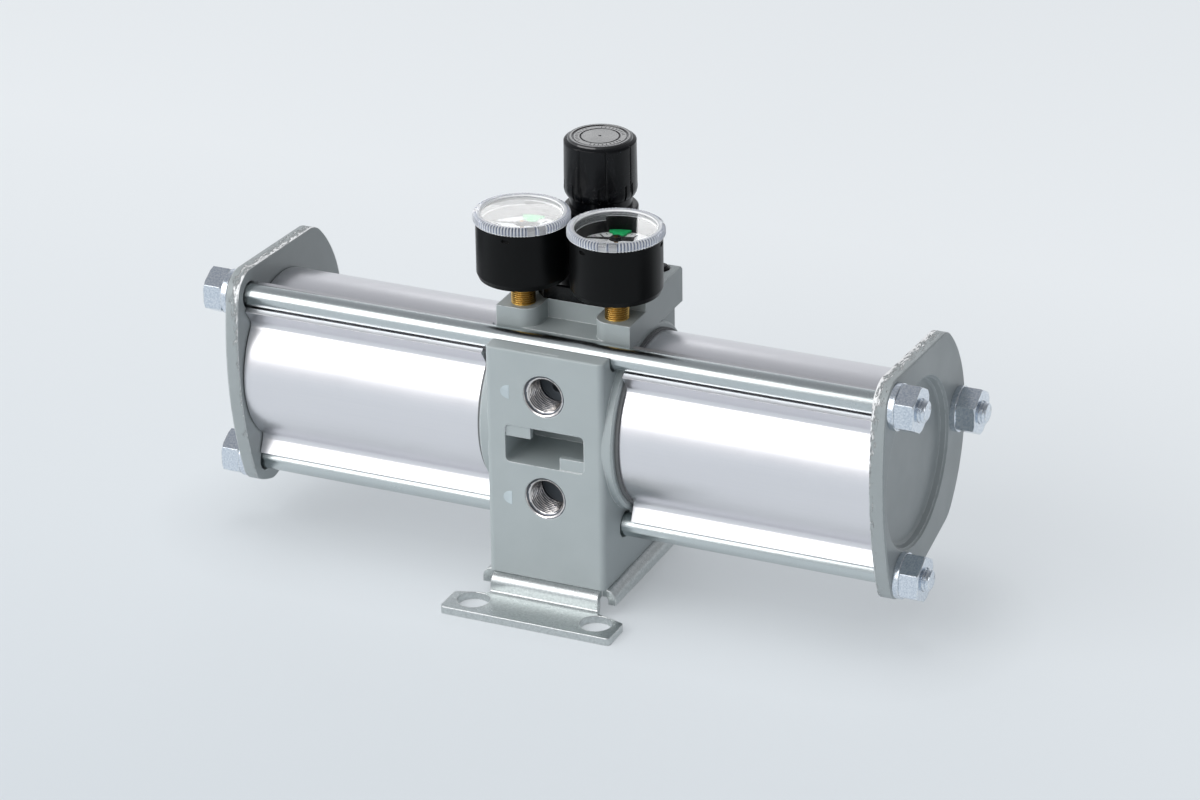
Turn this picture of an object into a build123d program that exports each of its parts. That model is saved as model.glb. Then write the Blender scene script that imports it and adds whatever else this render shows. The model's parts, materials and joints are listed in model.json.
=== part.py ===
from build123d import *
import os
from math import cos, hypot, pi, radians, sin, sqrt

# Air pressure booster: two cylinders on one axis, either side of a cast centre body.
# Millimetres. +X runs along the cylinders, -Y is the side with the ports, +Z is up.
# The origin is on the floor, at the middle of the mounting bracket.

# Cylinders
BORE_DIAMETER = 63.0
TUBE_WALL = 3.0
TUBE_LENGTH = 104.0
AXIS_HEIGHT = 71.3
AXIS_OFFSET = 1.6
GASKET_THICKNESS = 1.5
COVER_SEAL_THICKNESS = 0.5

# Tie rods, their nuts and spring washers
ROD_DIAMETER = 9.4
ROD_CIRCLE_RADIUS = 43.6
ROD_FIRST_ANGLE = 126.0
ROD_COUNT = 3
ROD_CHANNEL_GAP = 0.6
ROD_LIP_THICKNESS = 2.0
ROD_LIP_REACH = 42.0
ROD_TIP = 2.7
NUT_ACROSS_FLATS = 17.0
NUT_HEIGHT = 8.0
WASHER_DIAMETER = 18.4
WASHER_THICKNESS = 2.4
WASHER_SLIT = 1.2
ROD_HOLE_RADIUS = 5.6
HOLE_CLEARANCE = 0.4

# End covers
COVER_THICKNESS = 5.9
COVER_MARGIN = 9.6
COVER_TOP_MARGIN = 10.6
COVER_TOP_TILT = 3.2
COVER_BOTTOM_MARGIN = 13.0
COVER_BOTTOM_TILT = 14.5
COVER_FRONT_REACH = 37.1
COVER_CORNER_RADIUS = 9.5
COVER_BACK_RADIUS = 14.0
COVER_RECESS_RADIUS = 34.4
COVER_RECESS_DEPTH = 3.4
SPIGOT_LENGTH = 8.0
SPIGOT_WALL = 5.0

# Centre body
BODY_HALF_WIDTH = 25.1
BODY_FRONT = 36.8
BODY_BACK = 36.0
BODY_BOTTOM = 11.0
LEDGE_RISE = 37.2
BODY_EDGE_RADIUS = 2.5
COLLAR_FACE = 28.5
COLLAR_RADIUS = 37.9
HEAD_FRONT = 17.7
HEAD_BACK = 34.0
BOSS_HEIGHT = 8.9
DECK_HEIGHT = 5.5
DECK_FRONT = 2.0
DECK_WALL = 4.7
BAY_HALF_WIDTH = 12.3
BAY_BACK = 4.5
BAY_FLOOR_HEIGHT = 1.0
BOSS_CORNER_RADIUS = 6.0

# Ports, 3/8 pipe threads left at their minor diameter, and the cast pocket between them
PORT_BORE_RADIUS = 7.475
PORT_MOUTH_RADIUS = 8.85
PORT_DEPTH = 14.0
INLET_HEIGHT = 90.8
OUTLET_HEIGHT = 47.0
EXHAUST_DEPTH = 10.0
SPOT_FACE_RADIUS = 11.5
PASSAGE_RADIUS = 2.5
POCKET_HALF_WIDTH = 16.8
POCKET_BOTTOM = 60.4
POCKET_TOP = 76.3
POCKET_DEPTH = 26.0
POCKET_CORE_RADIUS = 14.5
TAB_WIDTH = 10.6
TAB_HEIGHT = 5.0
TAB_DROP = 0.6

# Mounting bracket
SHEET = 3.2
BEND_INNER = 1.2
BRACKET_WIDTH = 73.0
FOOT_REACH = 19.0
FOOT_HOLE_EDGE = 10.0
FOOT_HOLE_DIAMETER = 13.0
FOOT_STRAIGHT = 14.0
RISER_WIDTH = 46.0
RAIL_HALF_WIDTH = 28.8
RAIL_DROP = 6.5
RAIL_HALF_LENGTH = 35.0
BASE_SCREW_RADIUS = 2.5
BASE_SCREW_LENGTH = 12.0
BASE_SCREW_HEAD_RADIUS = 5.0
BASE_SCREW_HEAD = 3.4
BASE_SCREW_X = 14.0
BASE_SCREW_Y = 22.0

# Pistons and their rod
PISTON_THICKNESS = 14.0
PISTON_GAP = 0.75
PISTON_RUNNING_GAP = 0.4
SEAL_RUNNING_GAP = 0.05
PISTON_SEAL_WIDTH = 4.4
PISTON_SEAL_DEPTH = 4.0
PISTON_ROD_RADIUS = 8.0
BUSH_WALL = 2.5
BUSH_LENGTH = 16.0
ROD_SEAL_WIDTH = 4.0
PISTON_BOLT_RADIUS = 4.0
PISTON_BOLT_LENGTH = 20.0
PISTON_BOLT_HEAD_RADIUS = 8.0
PISTON_BOLT_HEAD = 5.0

# Switching valve, thrown by the pistons through its push pins
VALVE_Y = 16.0
VALVE_Z = 56.0
VALVE_THROW = 2.5
SPOOL_RADIUS = 6.5
SPOOL_WAIST_RADIUS = 4.2
SPOOL_LAND = 5.0
SPOOL_HALF_LENGTH = 17.0
SLEEVE_WALL = 2.0
END_PLUG_LENGTH = 6.0
PIN_RADIUS = 2.5
FIT_GAP = 0.05

# Check valves, one inlet and one outlet valve to each inner chamber
CHECK_Y = -14.0
INLET_CHECK_DROP = 2.8
OUTLET_CHECK_RISE = 5.5
CHECK_POCKET_RADIUS = 6.0
CHECK_RING_LENGTH = 3.0
CHECK_RING_BORE = 3.6
CHECK_DISC_RADIUS = 5.4
CHECK_DISC_THICKNESS = 3.0
CHECK_LIFT = 1.5

# Regulator on top of the body
REGULATOR_Y = 20.0
FLANGE_HALF_WIDTH = 22.5
FLANGE_FRONT_HALF = 14.0
FLANGE_BACK = 33.4
FLANGE_HEIGHT = 6.4
FLANGE_GAP = 0.5
LUG_RADIUS = 4.0
LUG_X = 21.2
LUG_Y = 8.0
BONNET_SHOULDER_RADIUS = 20.0
BONNET_SHOULDER_TOP = 30.0
BONNET_COLLAR_RADIUS = 14.8
BONNET_HEIGHT = 32.6
BONNET_NECK_RADIUS = 12.4
BONNET_NECK_HEIGHT = 13.0
SPRING_BORE_RADIUS = 10.6
BONNET_SCREW_RADIUS = 1.9
BONNET_SCREW_HEAD_RADIUS = 3.0
BONNET_SCREW_HEAD = 3.2
BONNET_SCREW_SINK = 2.8
BONNET_SCREW_LENGTH = 13.0

# Knob, adjusting screw and spring
KNOB_RADIUS = 14.6
KNOB_GAP = 5.0
KNOB_HEIGHT = 23.8
KNOB_WALL = 1.6
KNOB_CAP = 3.0
KNOB_FACE_RADIUS = 12.4
KNOB_CHAMFER = 2.2
KNOB_DRAFT = 0.3
KNOB_GROOVES = 8
KNOB_GROOVE_DEPTH = 0.5
KNOB_GROOVE_WIDTH = 1.2
KNOB_LIFT = 3.0
HUB_RADIUS = 6.5
SCREW_RADIUS = 4.0
SCREW_HEX = 8.0
SCREW_COLLAR_RADIUS = 6.0
SCREW_COLLAR = 3.0
SCREW_REACH = 12.0
SEAT_RADIUS = 9.8
SEAT_HEIGHT = 2.0
SEAT_THICKNESS = 6.0
SEAT_TRAVEL = 5.0
SPRING_RADIUS = 7.8
SPRING_WIRE = 2.0
SPRING_TURNS = 5

# Diaphragm and valve under the spring
DIAPHRAGM_RADIUS = 12.8
DIAPHRAGM_THICKNESS = 1.2
DIAPHRAGM_DOME = 1.0
PLATE_RADIUS = 9.5
PLATE_THICKNESS = 2.0
CHAMBER_RADIUS = 11.0
CHAMBER_DEPTH = 9.0
VALVE_BORE_RADIUS = 6.5
VALVE_BORE_DEPTH = 20.0
VALVE_SEAT_LENGTH = 5.0
VALVE_SEAT_BORE = 2.8
VALVE_STEM_RADIUS = 1.6
VALVE_DISC_RADIUS = 5.2
VALVE_DISC_THICKNESS = 3.0
VALVE_LIFT = 1.5
VALVE_SPRING_RADIUS = 3.8
VALVE_SPRING_WIRE = 0.8
VALVE_SPRING_TURNS = 4

# Pressure gauges
GAUGE_X = 20.0
GAUGE_Y = 10.5
CASE_RADIUS = 18.2
CASE_WALL = 1.6
GAUGE_STEM_HEIGHT = 10.6
CASE_BOTTOM_RADIUS = 3.0
RING_RADIUS = 19.2
RING_STEP = 2.6
WINDOW_DROP = 0.7
RING_RISE = 7.1
RING_HEIGHT = 3.45
WINDOW_THICKNESS = 1.2
DIAL_RISE = 17.3
DIAL_THICKNESS = 0.8
DIAL_LEDGE = 1.4
GAUGE_STEM_RADIUS = 4.86
GAUGE_THREAD_RADIUS = 4.25
GAUGE_THREAD_LENGTH = 8.0
SPINDLE_RADIUS = 0.8
POINTER_GAP = 3.9
POINTER_LENGTH = 12.0
POINTER_TAIL = 7.0
POINTER_THICKNESS = 0.5
POINTER_HUB_RADIUS = 2.8
MARKER_THICKNESS = 0.8
MARKER_RISE = 0.3
MARKER_RING_WIDTH = 1.0
MARKER_TAB = 4.65
MARKER_HALF_ANGLE = 15.5
CASE_NOTCH_LENGTH = 3.2
CASE_NOTCH_HEIGHT = 1.6
CASE_NOTCH_DEPTH = 0.8
CASE_NOTCH_DROP = 2.4
CASE_NOTCH_COUNT = 3
POINTER_ZERO = {"left": 190.0, "right": 196.0}
MARKER_ANGLE = {"left": 98.0, "right": 108.0}
NOTCH_ANGLE = {"left": -86.0, "right": -112.0}

# Derived places
AXIS_Y = AXIS_OFFSET
AXIS_Z = AXIS_HEIGHT
BORE_RADIUS = BORE_DIAMETER / 2
TUBE_RADIUS = BORE_RADIUS + TUBE_WALL
ROD_RADIUS = ROD_DIAMETER / 2
CHANNEL_RADIUS = ROD_RADIUS + ROD_CHANNEL_GAP
TUBE_START = COLLAR_FACE + GASKET_THICKNESS
TUBE_END = TUBE_START + TUBE_LENGTH
COVER_START = TUBE_END + COVER_SEAL_THICKNESS
COVER_FACE = COVER_START + COVER_THICKNESS
WASHER_FACE = COVER_FACE + WASHER_THICKNESS
NUT_FACE = WASHER_FACE + NUT_HEIGHT
SPIGOT_END = COVER_START - SPIGOT_LENGTH
INLET_CHECK_Z = INLET_HEIGHT - INLET_CHECK_DROP
OUTLET_CHECK_Z = OUTLET_HEIGHT + OUTLET_CHECK_RISE
BRACKET_LENGTH = 2 * (BODY_FRONT + SHEET + FOOT_REACH)
FOOT_PITCH_X = BRACKET_WIDTH - 2 * FOOT_HOLE_EDGE
FOOT_PITCH_Y = BRACKET_LENGTH - 2 * FOOT_HOLE_EDGE
LEDGE_HEIGHT = AXIS_Z + LEDGE_RISE
BOSS_TOP = LEDGE_HEIGHT + BOSS_HEIGHT
DECK_TOP = BOSS_TOP + DECK_HEIGHT
BAY_FLOOR = LEDGE_HEIGHT + BAY_FLOOR_HEIGHT
BONNET_TOP = BOSS_TOP + BONNET_HEIGHT
BONNET_NECK_TOP = BONNET_TOP + BONNET_NECK_HEIGHT
KNOB_BOTTOM = BONNET_TOP + KNOB_GAP
KNOB_TOP = KNOB_BOTTOM + KNOB_HEIGHT
SCREW_BOTTOM = BONNET_TOP - SCREW_REACH
SEAT_TOP = BONNET_TOP + SEAT_HEIGHT
CASE_BOTTOM = BOSS_TOP + GAUGE_STEM_HEIGHT
DIAL_HEIGHT = CASE_BOTTOM + DIAL_RISE
RING_BOTTOM = DIAL_HEIGHT + RING_RISE
GAUGE_TOP = RING_BOTTOM + RING_HEIGHT
PISTON_CENTRE = (COLLAR_FACE + SPIGOT_END) / 2
PISTON_STROKE = PISTON_CENTRE - COLLAR_FACE - PISTON_THICKNESS / 2 - PISTON_GAP
CHECK_POCKET_DEPTH = CHECK_RING_LENGTH + CHECK_DISC_THICKNESS + CHECK_LIFT + 1
ROD_ANGLES = [ROD_FIRST_ANGLE + 360 / ROD_COUNT * i for i in range(ROD_COUNT)]
ROD_PLACES = [
    (AXIS_Y + ROD_CIRCLE_RADIUS * cos(radians(a)), AXIS_Z + ROD_CIRCLE_RADIUS * sin(radians(a)))
    for a in ROD_ANGLES
]
FRONT_ROD, BOTTOM_ROD, BACK_ROD = ROD_PLACES


# Helpers
def disc_x(radius, x0, x1, y=AXIS_Y, z=AXIS_Z):
    return Pos((x0 + x1) / 2, y, z) * Rot(0, 90, 0) * Cylinder(radius, x1 - x0)


def disc_y(radius, y0, y1, x, z):
    return Pos(x, (y0 + y1) / 2, z) * Rot(90, 0, 0) * Cylinder(radius, y1 - y0)


def disc_z(radius, z0, z1, x=0.0, y=0.0):
    return Pos(x, y, (z0 + z1) / 2) * Cylinder(radius, z1 - z0)


def block(x0, x1, y0, y1, z0, z1):
    return Pos((x0 + x1) / 2, (y0 + y1) / 2, (z0 + z1) / 2) * Box(x1 - x0, y1 - y0, z1 - z0)


def turned_x(profile, y=AXIS_Y, z=AXIS_Z):
    # a turned piece about an axis along X, from (x, radius) points
    face = make_face(Plane.XZ * Polyline(*profile, close=True))
    return Pos(0, y, z) * revolve(face, Axis.X)


def turned_z(profile, x=0.0, y=0.0):
    # a turned piece about an upright axis, from (radius, z) points
    face = make_face(Plane.XZ * Polyline(*profile, close=True))
    return Pos(x, y, 0) * revolve(face, Axis.Z)


def ring_x(outer, inner, x0, x1, y=AXIS_Y, z=AXIS_Z):
    return disc_x(outer, x0, x1, y, z) - disc_x(inner, x0, x1, y, z)


def ring_z(outer, inner, z0, z1, x=0.0, y=0.0):
    return disc_z(outer, z0, z1, x, y) - disc_z(inner, z0, z1, x, y)


def along_x(face, x0, x1):
    # extrudes a face drawn in (y, z) from x0 to x1
    return extrude(Plane.YZ.offset(x0) * face, x1 - x0)


def mirrored(part):
    return mirror(part, about=Plane.YZ)


def both_sides(part):
    return [part, mirrored(part)]


def circle_through(p, q, r):
    # centre and radius of the circle through three points
    ax, ay = q[0] - p[0], q[1] - p[1]
    bx, by = r[0] - p[0], r[1] - p[1]
    d = 2 * (ax * by - ay * bx)
    ux = (by * (ax * ax + ay * ay) - ay * (bx * bx + by * by)) / d
    uy = (ax * (bx * bx + by * by) - bx * (ax * ax + ay * ay)) / d
    return (p[0] + ux, p[1] + uy), hypot(ux, uy)


def coil(radius, wire, bottom, top, turns, x=0.0, y=0.0):
    # a spring of square wire, ground flat between bottom and top
    pitch = (top - bottom - wire) / turns
    path = Helix(pitch, pitch * turns, radius)
    section = Plane(origin=path @ 0, z_dir=path % 0) * Rectangle(wire, wire)
    spring = sweep(section, path, is_frenet=True)
    return Pos(x, y, bottom + wire / 2) * spring


# Tubes, covers and rods
def tube_face():
    # round tube with three open channels that cradle the tie rods
    rib_width = 2 * (CHANNEL_RADIUS + ROD_LIP_THICKNESS)
    face = Circle(TUBE_RADIUS)
    for angle in ROD_ANGLES:
        face += Rot(0, 0, angle) * Pos(ROD_LIP_REACH / 2, 0) * Rectangle(ROD_LIP_REACH, rib_width)
    roots = [v for v in face.vertices() if abs(hypot(v.X, v.Y) - TUBE_RADIUS) < 0.01]
    face = fillet(roots, TUBE_WALL)
    face -= Circle(BORE_RADIUS)
    for angle in ROD_ANGLES:
        face -= Rot(0, 0, angle) * Pos(ROD_CIRCLE_RADIUS, 0) * Circle(CHANNEL_RADIUS)
    return Pos(AXIS_Y, AXIS_Z) * face


def cylinder_tube():
    return along_x(tube_face(), TUBE_START, TUBE_END)


def cover_face():
    # front and back arcs, cut on a slight slant at the top and a steeper one at the bottom
    reach = ROD_CIRCLE_RADIUS + COVER_MARGIN
    back = Pos(AXIS_Y, AXIS_Z) * Rot(0, 0, 180) * Circle(reach)
    top_front = (FRONT_ROD[0] - COVER_MARGIN, FRONT_ROD[1])
    low_front = (BOTTOM_ROD[0] - COVER_MARGIN - 1, BOTTOM_ROD[1])
    middle = (AXIS_Y - COVER_FRONT_REACH, (AXIS_Z + FRONT_ROD[1]) / 2 - COVER_CORNER_RADIUS)
    centre, radius = circle_through(top_front, middle, low_front)
    front = Pos(*centre) * Circle(radius)
    below = (
        Pos(*FRONT_ROD) * Rot(0, 0, -COVER_TOP_TILT)
        * Pos(0, COVER_TOP_MARGIN - 2 * reach) * Rectangle(8 * reach, 4 * reach)
    )
    above = (
        Pos(*BOTTOM_ROD) * Rot(0, 0, COVER_BOTTOM_TILT)
        * Pos(0, 2 * reach - COVER_BOTTOM_MARGIN) * Rectangle(8 * reach, 4 * reach)
    )
    face = back & front & below & above
    face = fillet([v for v in face.vertices() if v.X < AXIS_Y], COVER_CORNER_RADIUS)
    corners = face.vertices().sort_by(Axis.X)[-2:]
    return fillet(corners, COVER_BACK_RADIUS)


def end_cover():
    plate = along_x(cover_face(), COVER_START, COVER_FACE)
    plate = chamfer(plate.faces().sort_by(Axis.X)[-1].outer_wire().edges(), 0.6)
    spigot = BORE_RADIUS - FIT_GAP
    hollow = spigot - SPIGOT_WALL
    floor = COVER_FACE - COVER_RECESS_DEPTH
    plate += disc_x(spigot, SPIGOT_END, COVER_START)
    plate -= disc_x(hollow, SPIGOT_END, COVER_START - SPIGOT_WALL / 2)
    plate -= turned_x([
        (floor, 0),
        (floor, COVER_RECESS_RADIUS - 2.9),
        (floor + 0.5, COVER_RECESS_RADIUS - 1.8),
        (COVER_FACE - 0.9, COVER_RECESS_RADIUS - 1.0),
        (COVER_FACE - 0.75, COVER_RECESS_RADIUS - 0.6),
        (COVER_FACE, COVER_RECESS_RADIUS),
        (COVER_FACE, 0),
    ])
    for y, z in ROD_PLACES:
        plate -= disc_x(ROD_HOLE_RADIUS, COVER_START, COVER_FACE, y, z)
    return plate


def cover_seal():
    return ring_x(TUBE_RADIUS - 0.5, BORE_RADIUS, TUBE_END, COVER_START)


def body_gasket():
    return ring_x(TUBE_RADIUS + 1, BORE_RADIUS, COLLAR_FACE, TUBE_START)


def tie_rod(place):
    tip = NUT_FACE + ROD_TIP
    rod = disc_x(ROD_RADIUS, -tip, tip, *place)
    return chamfer(rod.edges().filter_by(GeomType.CIRCLE), 1.0)


def rod_nut(place):
    hexagon = Rot(0, 0, 30) * RegularPolygon(NUT_ACROSS_FLATS / 2, 6, major_radius=False)
    nut = along_x(Pos(*place) * hexagon, WASHER_FACE, NUT_FACE)
    corner = NUT_ACROSS_FLATS / sqrt(3)
    crown = turned_x([
        (WASHER_FACE, 0),
        (WASHER_FACE, corner - 0.9),
        (WASHER_FACE + 0.7, corner + 0.2),
        (NUT_FACE - 0.7, corner + 0.2),
        (NUT_FACE, corner - 0.9),
        (NUT_FACE, 0),
    ], *place)
    return (nut & crown) - disc_x(ROD_RADIUS, WASHER_FACE, NUT_FACE, *place)


def spring_washer(place):
    washer = ring_x(WASHER_DIAMETER / 2, ROD_RADIUS + HOLE_CLEARANCE / 2, COVER_FACE, WASHER_FACE, *place)
    slit = Pos((COVER_FACE + WASHER_FACE) / 2, place[0] + WASHER_DIAMETER / 2, place[1]) * Rot(0, 0, 30)
    return washer - slit * Box(WASHER_SLIT, WASHER_DIAMETER, WASHER_SLIT)


# Centre body
def body_solid():
    trunk = block(-BODY_HALF_WIDTH, BODY_HALF_WIDTH, -BODY_FRONT, BODY_BACK, BODY_BOTTOM, LEDGE_HEIGHT)
    trunk = fillet(trunk.edges().filter_by(Axis.Z), BODY_EDGE_RADIUS)
    trunk = fillet(trunk.faces().sort_by(Axis.Z)[-1].edges(), 0.8)
    collars = disc_x(COLLAR_RADIUS, -COLLAR_FACE, COLLAR_FACE)
    collars = chamfer(collars.edges().filter_by(GeomType.CIRCLE), 0.8)
    head = block(-COLLAR_FACE, COLLAR_FACE, -HEAD_FRONT, HEAD_BACK, LEDGE_HEIGHT - 1, BOSS_TOP)
    deck = block(-COLLAR_FACE, COLLAR_FACE, -DECK_FRONT, HEAD_BACK, LEDGE_HEIGHT, DECK_TOP)
    head += chamfer(deck.edges().filter_by(Axis.X).sort_by(Axis.Z)[-2:], 1.5)
    return trunk + collars + head


def flange_face(grow=0.0):
    # octagonal flange with four screw lugs, in plan
    half = FLANGE_HALF_WIDTH + grow
    cut = FLANGE_HALF_WIDTH - FLANGE_FRONT_HALF
    front = -BAY_BACK - grow
    back = FLANGE_BACK + grow
    face = make_face(Polyline(
        (-half + cut, front), (half - cut, front), (half, front + cut), (half, back - cut / 2),
        (half - cut / 2, back), (-half + cut / 2, back), (-half, back - cut / 2), (-half, front + cut),
        close=True,
    ))
    for x, y in lug_places():
        face += Pos(x, y) * Circle(LUG_RADIUS + grow)
    return face


def lug_places():
    return [(sx * LUG_X, REGULATOR_Y + sy * LUG_Y) for sx in (-1, 1) for sy in (-1, 1)]


def head_cuts():
    # the bay between the gauge bosses, the groove of the front rod and the seat of the bonnet
    bay = Rectangle(2 * BAY_HALF_WIDTH, HEAD_FRONT - BAY_BACK + 2)
    bay = Pos(0, -(HEAD_FRONT + BAY_BACK + 2) / 2) * bay
    cuts = extrude(Plane.XY.offset(BAY_FLOOR) * bay, BOSS_TOP - BAY_FLOOR + 1)
    radius = ROD_RADIUS + 0.9
    y, z = FRONT_ROD
    cuts += disc_x(radius, -COLLAR_FACE, COLLAR_FACE, y, z)
    cuts += block(-COLLAR_FACE, COLLAR_FACE, y - radius, -HEAD_FRONT, z, BOSS_TOP)
    seat = flange_face(FLANGE_GAP)
    half = FLANGE_HALF_WIDTH + FLANGE_GAP
    seat += Pos(0, (REGULATOR_Y + HEAD_BACK + 2) / 2) * Rectangle(2 * half, HEAD_BACK + 2 - REGULATOR_Y)
    return cuts + extrude(Plane.XY.offset(BOSS_TOP) * seat, DECK_TOP - BOSS_TOP + 1)


def port_cut(height):
    mouth = PORT_MOUTH_RADIUS - PORT_BORE_RADIUS
    bore = disc_y(PORT_BORE_RADIUS, -BODY_FRONT, -BODY_FRONT + PORT_DEPTH, 0, height)
    cone = Rot(90, 0, 0) * Cone(PORT_BORE_RADIUS, PORT_MOUTH_RADIUS, mouth)
    cone = Pos(0, -BODY_FRONT + mouth / 2, height) * cone
    return bore + cone


def pocket_cut():
    # the cast pocket stops on the round core that carries the piston rod
    width = 2 * POCKET_HALF_WIDTH
    height = POCKET_TOP - POCKET_BOTTOM
    window = Pos(0, (POCKET_TOP + POCKET_BOTTOM) / 2) * RectangleRounded(width, height, 2.0)
    cut = extrude(Plane.XZ.offset(BODY_FRONT) * window, -POCKET_DEPTH)
    cut -= disc_x(POCKET_CORE_RADIUS, -POCKET_HALF_WIDTH, POCKET_HALF_WIDTH)
    tab_depth = 3.0
    face = TAB_DROP - BODY_FRONT
    left = block(-POCKET_HALF_WIDTH, TAB_WIDTH - POCKET_HALF_WIDTH, face, tab_depth - BODY_FRONT,
                 POCKET_TOP - TAB_HEIGHT, POCKET_TOP)
    right = block(POCKET_HALF_WIDTH - TAB_WIDTH, POCKET_HALF_WIDTH, face, tab_depth - BODY_FRONT,
                  POCKET_BOTTOM, POCKET_BOTTOM + TAB_HEIGHT)
    return cut - left - right


def check_places():
    return [(CHECK_Y, INLET_CHECK_Z), (CHECK_Y, OUTLET_CHECK_Z)]


def passages():
    # the inlet and outlet ports each lead to the check valves of both cylinders
    reach = COLLAR_FACE - CHECK_POCKET_DEPTH
    cuts = disc_y(PASSAGE_RADIUS, REGULATOR_Y - 4, BODY_BACK, 0, VALVE_Z)
    for (y, z), port in zip(check_places(), (INLET_HEIGHT, OUTLET_HEIGHT)):
        cuts += disc_x(PASSAGE_RADIUS, -reach, reach, y, z)
        middle = (z + port) / 2
        cuts += disc_y(PASSAGE_RADIUS, -BODY_FRONT, y, 0, middle)
    return cuts


def inner_cuts():
    # bores for the piston rod, the switching valve, the check valves and the regulator valve
    bush = PISTON_ROD_RADIUS + BUSH_WALL
    cuts = disc_x(bush, -COLLAR_FACE, COLLAR_FACE)
    cuts += disc_x(SPOOL_RADIUS + SLEEVE_WALL, -COLLAR_FACE, COLLAR_FACE, VALVE_Y, VALVE_Z)
    for y, z in check_places():
        cuts += disc_x(CHECK_POCKET_RADIUS, COLLAR_FACE - CHECK_POCKET_DEPTH, COLLAR_FACE, y, z)
        cuts += disc_x(CHECK_POCKET_RADIUS, -COLLAR_FACE, CHECK_POCKET_DEPTH - COLLAR_FACE, y, z)
    top = BOSS_TOP - DIAPHRAGM_THICKNESS
    floor = top - CHAMBER_DEPTH
    cuts += disc_z(DIAPHRAGM_RADIUS, top, BOSS_TOP, 0, REGULATOR_Y)
    cuts += disc_z(CHAMBER_RADIUS, floor, top, 0, REGULATOR_Y)
    cuts += disc_z(VALVE_BORE_RADIUS, floor - VALVE_BORE_DEPTH, floor, 0, REGULATOR_Y)
    for side in (-1, 1):
        cuts += disc_z(GAUGE_THREAD_RADIUS + FIT_GAP, BOSS_TOP - GAUGE_THREAD_LENGTH - 2, BOSS_TOP,
                       side * GAUGE_X, -GAUGE_Y)
    return cuts


def body():
    part = body_solid() - head_cuts()
    corners = [
        e for e in part.edges().filter_by(Axis.Z)
        if abs(abs(e.center().X) - BAY_HALF_WIDTH) < 0.01 and abs(e.center().Y + HEAD_FRONT) < 0.01
    ]
    part = fillet(corners, BOSS_CORNER_RADIUS)
    part -= port_cut(INLET_HEIGHT) + port_cut(OUTLET_HEIGHT)
    part -= disc_y(PORT_BORE_RADIUS, BODY_BACK - EXHAUST_DEPTH, BODY_BACK, 0, VALVE_Z)
    part -= disc_y(SPOT_FACE_RADIUS, BODY_BACK, AXIS_Y + COLLAR_RADIUS, 0, VALVE_Z)
    part -= pocket_cut()
    part -= inner_cuts()
    part -= passages()
    for x, y in lug_places():
        part -= disc_z(BONNET_SCREW_RADIUS, BOSS_TOP - BONNET_SCREW_LENGTH, BOSS_TOP, x, y)
    for x, y in base_screw_places():
        part -= disc_z(BASE_SCREW_RADIUS, BODY_BOTTOM, BODY_BOTTOM + BASE_SCREW_LENGTH, x, y)
    return part - disc_x(ROD_HOLE_RADIUS, -COLLAR_FACE, COLLAR_FACE, *BOTTOM_ROD)


# Bracket
def base_screw_places():
    return [(sx * BASE_SCREW_X, sy * BASE_SCREW_Y) for sx in (-1, 1) for sy in (-1, 1)]


def rounded(face, corners, radius):
    # rounds the corners of a symmetric face, given by the distance from the middle and the height
    chosen = [v for v in face.vertices() if any(hypot(abs(v.X) - a, v.Y - b) < 0.01 for a, b in corners)]
    return fillet(chosen, radius)


def foot_strip_face():
    # section across the front and back feet: foot, riser, raised plate, riser, foot
    outer = BODY_FRONT + SHEET
    end = BRACKET_LENGTH / 2
    underside = BODY_BOTTOM - SHEET
    face = make_face(Polyline(
        (-end, 0), (-BODY_FRONT, 0), (-BODY_FRONT, underside),
        (BODY_FRONT, underside), (BODY_FRONT, 0), (end, 0),
        (end, SHEET), (outer, SHEET), (outer, BODY_BOTTOM),
        (-outer, BODY_BOTTOM), (-outer, SHEET), (-end, SHEET),
        close=True,
    ))
    face = rounded(face, [(BODY_FRONT, underside), (outer, SHEET)], BEND_INNER)
    return rounded(face, [(BODY_FRONT, 0), (outer, BODY_BOTTOM)], BEND_INNER + SHEET)


def rail_face():
    # section across the two folded long sides
    inner = RAIL_HALF_WIDTH - SHEET
    underside = BODY_BOTTOM - SHEET
    low = BODY_BOTTOM - RAIL_DROP
    face = make_face(Polyline(
        (-RAIL_HALF_WIDTH, low), (-inner, low), (-inner, underside), (inner, underside), (inner, low),
        (RAIL_HALF_WIDTH, low), (RAIL_HALF_WIDTH, BODY_BOTTOM), (-RAIL_HALF_WIDTH, BODY_BOTTOM),
        close=True,
    ))
    face = rounded(face, [(inner, underside)], BEND_INNER)
    return rounded(face, [(RAIL_HALF_WIDTH, BODY_BOTTOM)], BEND_INNER + SHEET)


def foot_plan():
    # seen from above: square ends that slant in to the narrower risers
    end = BRACKET_LENGTH / 2
    wide = end - FOOT_STRAIGHT
    narrow = BODY_FRONT + SHEET + 1
    half = BRACKET_WIDTH / 2
    neck = RISER_WIDTH / 2
    right = [(half, -end), (half, -wide), (neck, -narrow), (neck, narrow), (half, wide), (half, end)]
    plan = make_face(Polyline(*right, *[(-x, y) for x, y in reversed(right)], close=True))
    plan = rounded(plan, [(half, -end), (half, end), (half, -wide), (half, wide)], 1.5)
    return rounded(plan, [(neck, -narrow), (neck, narrow)], 3.0)


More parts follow.
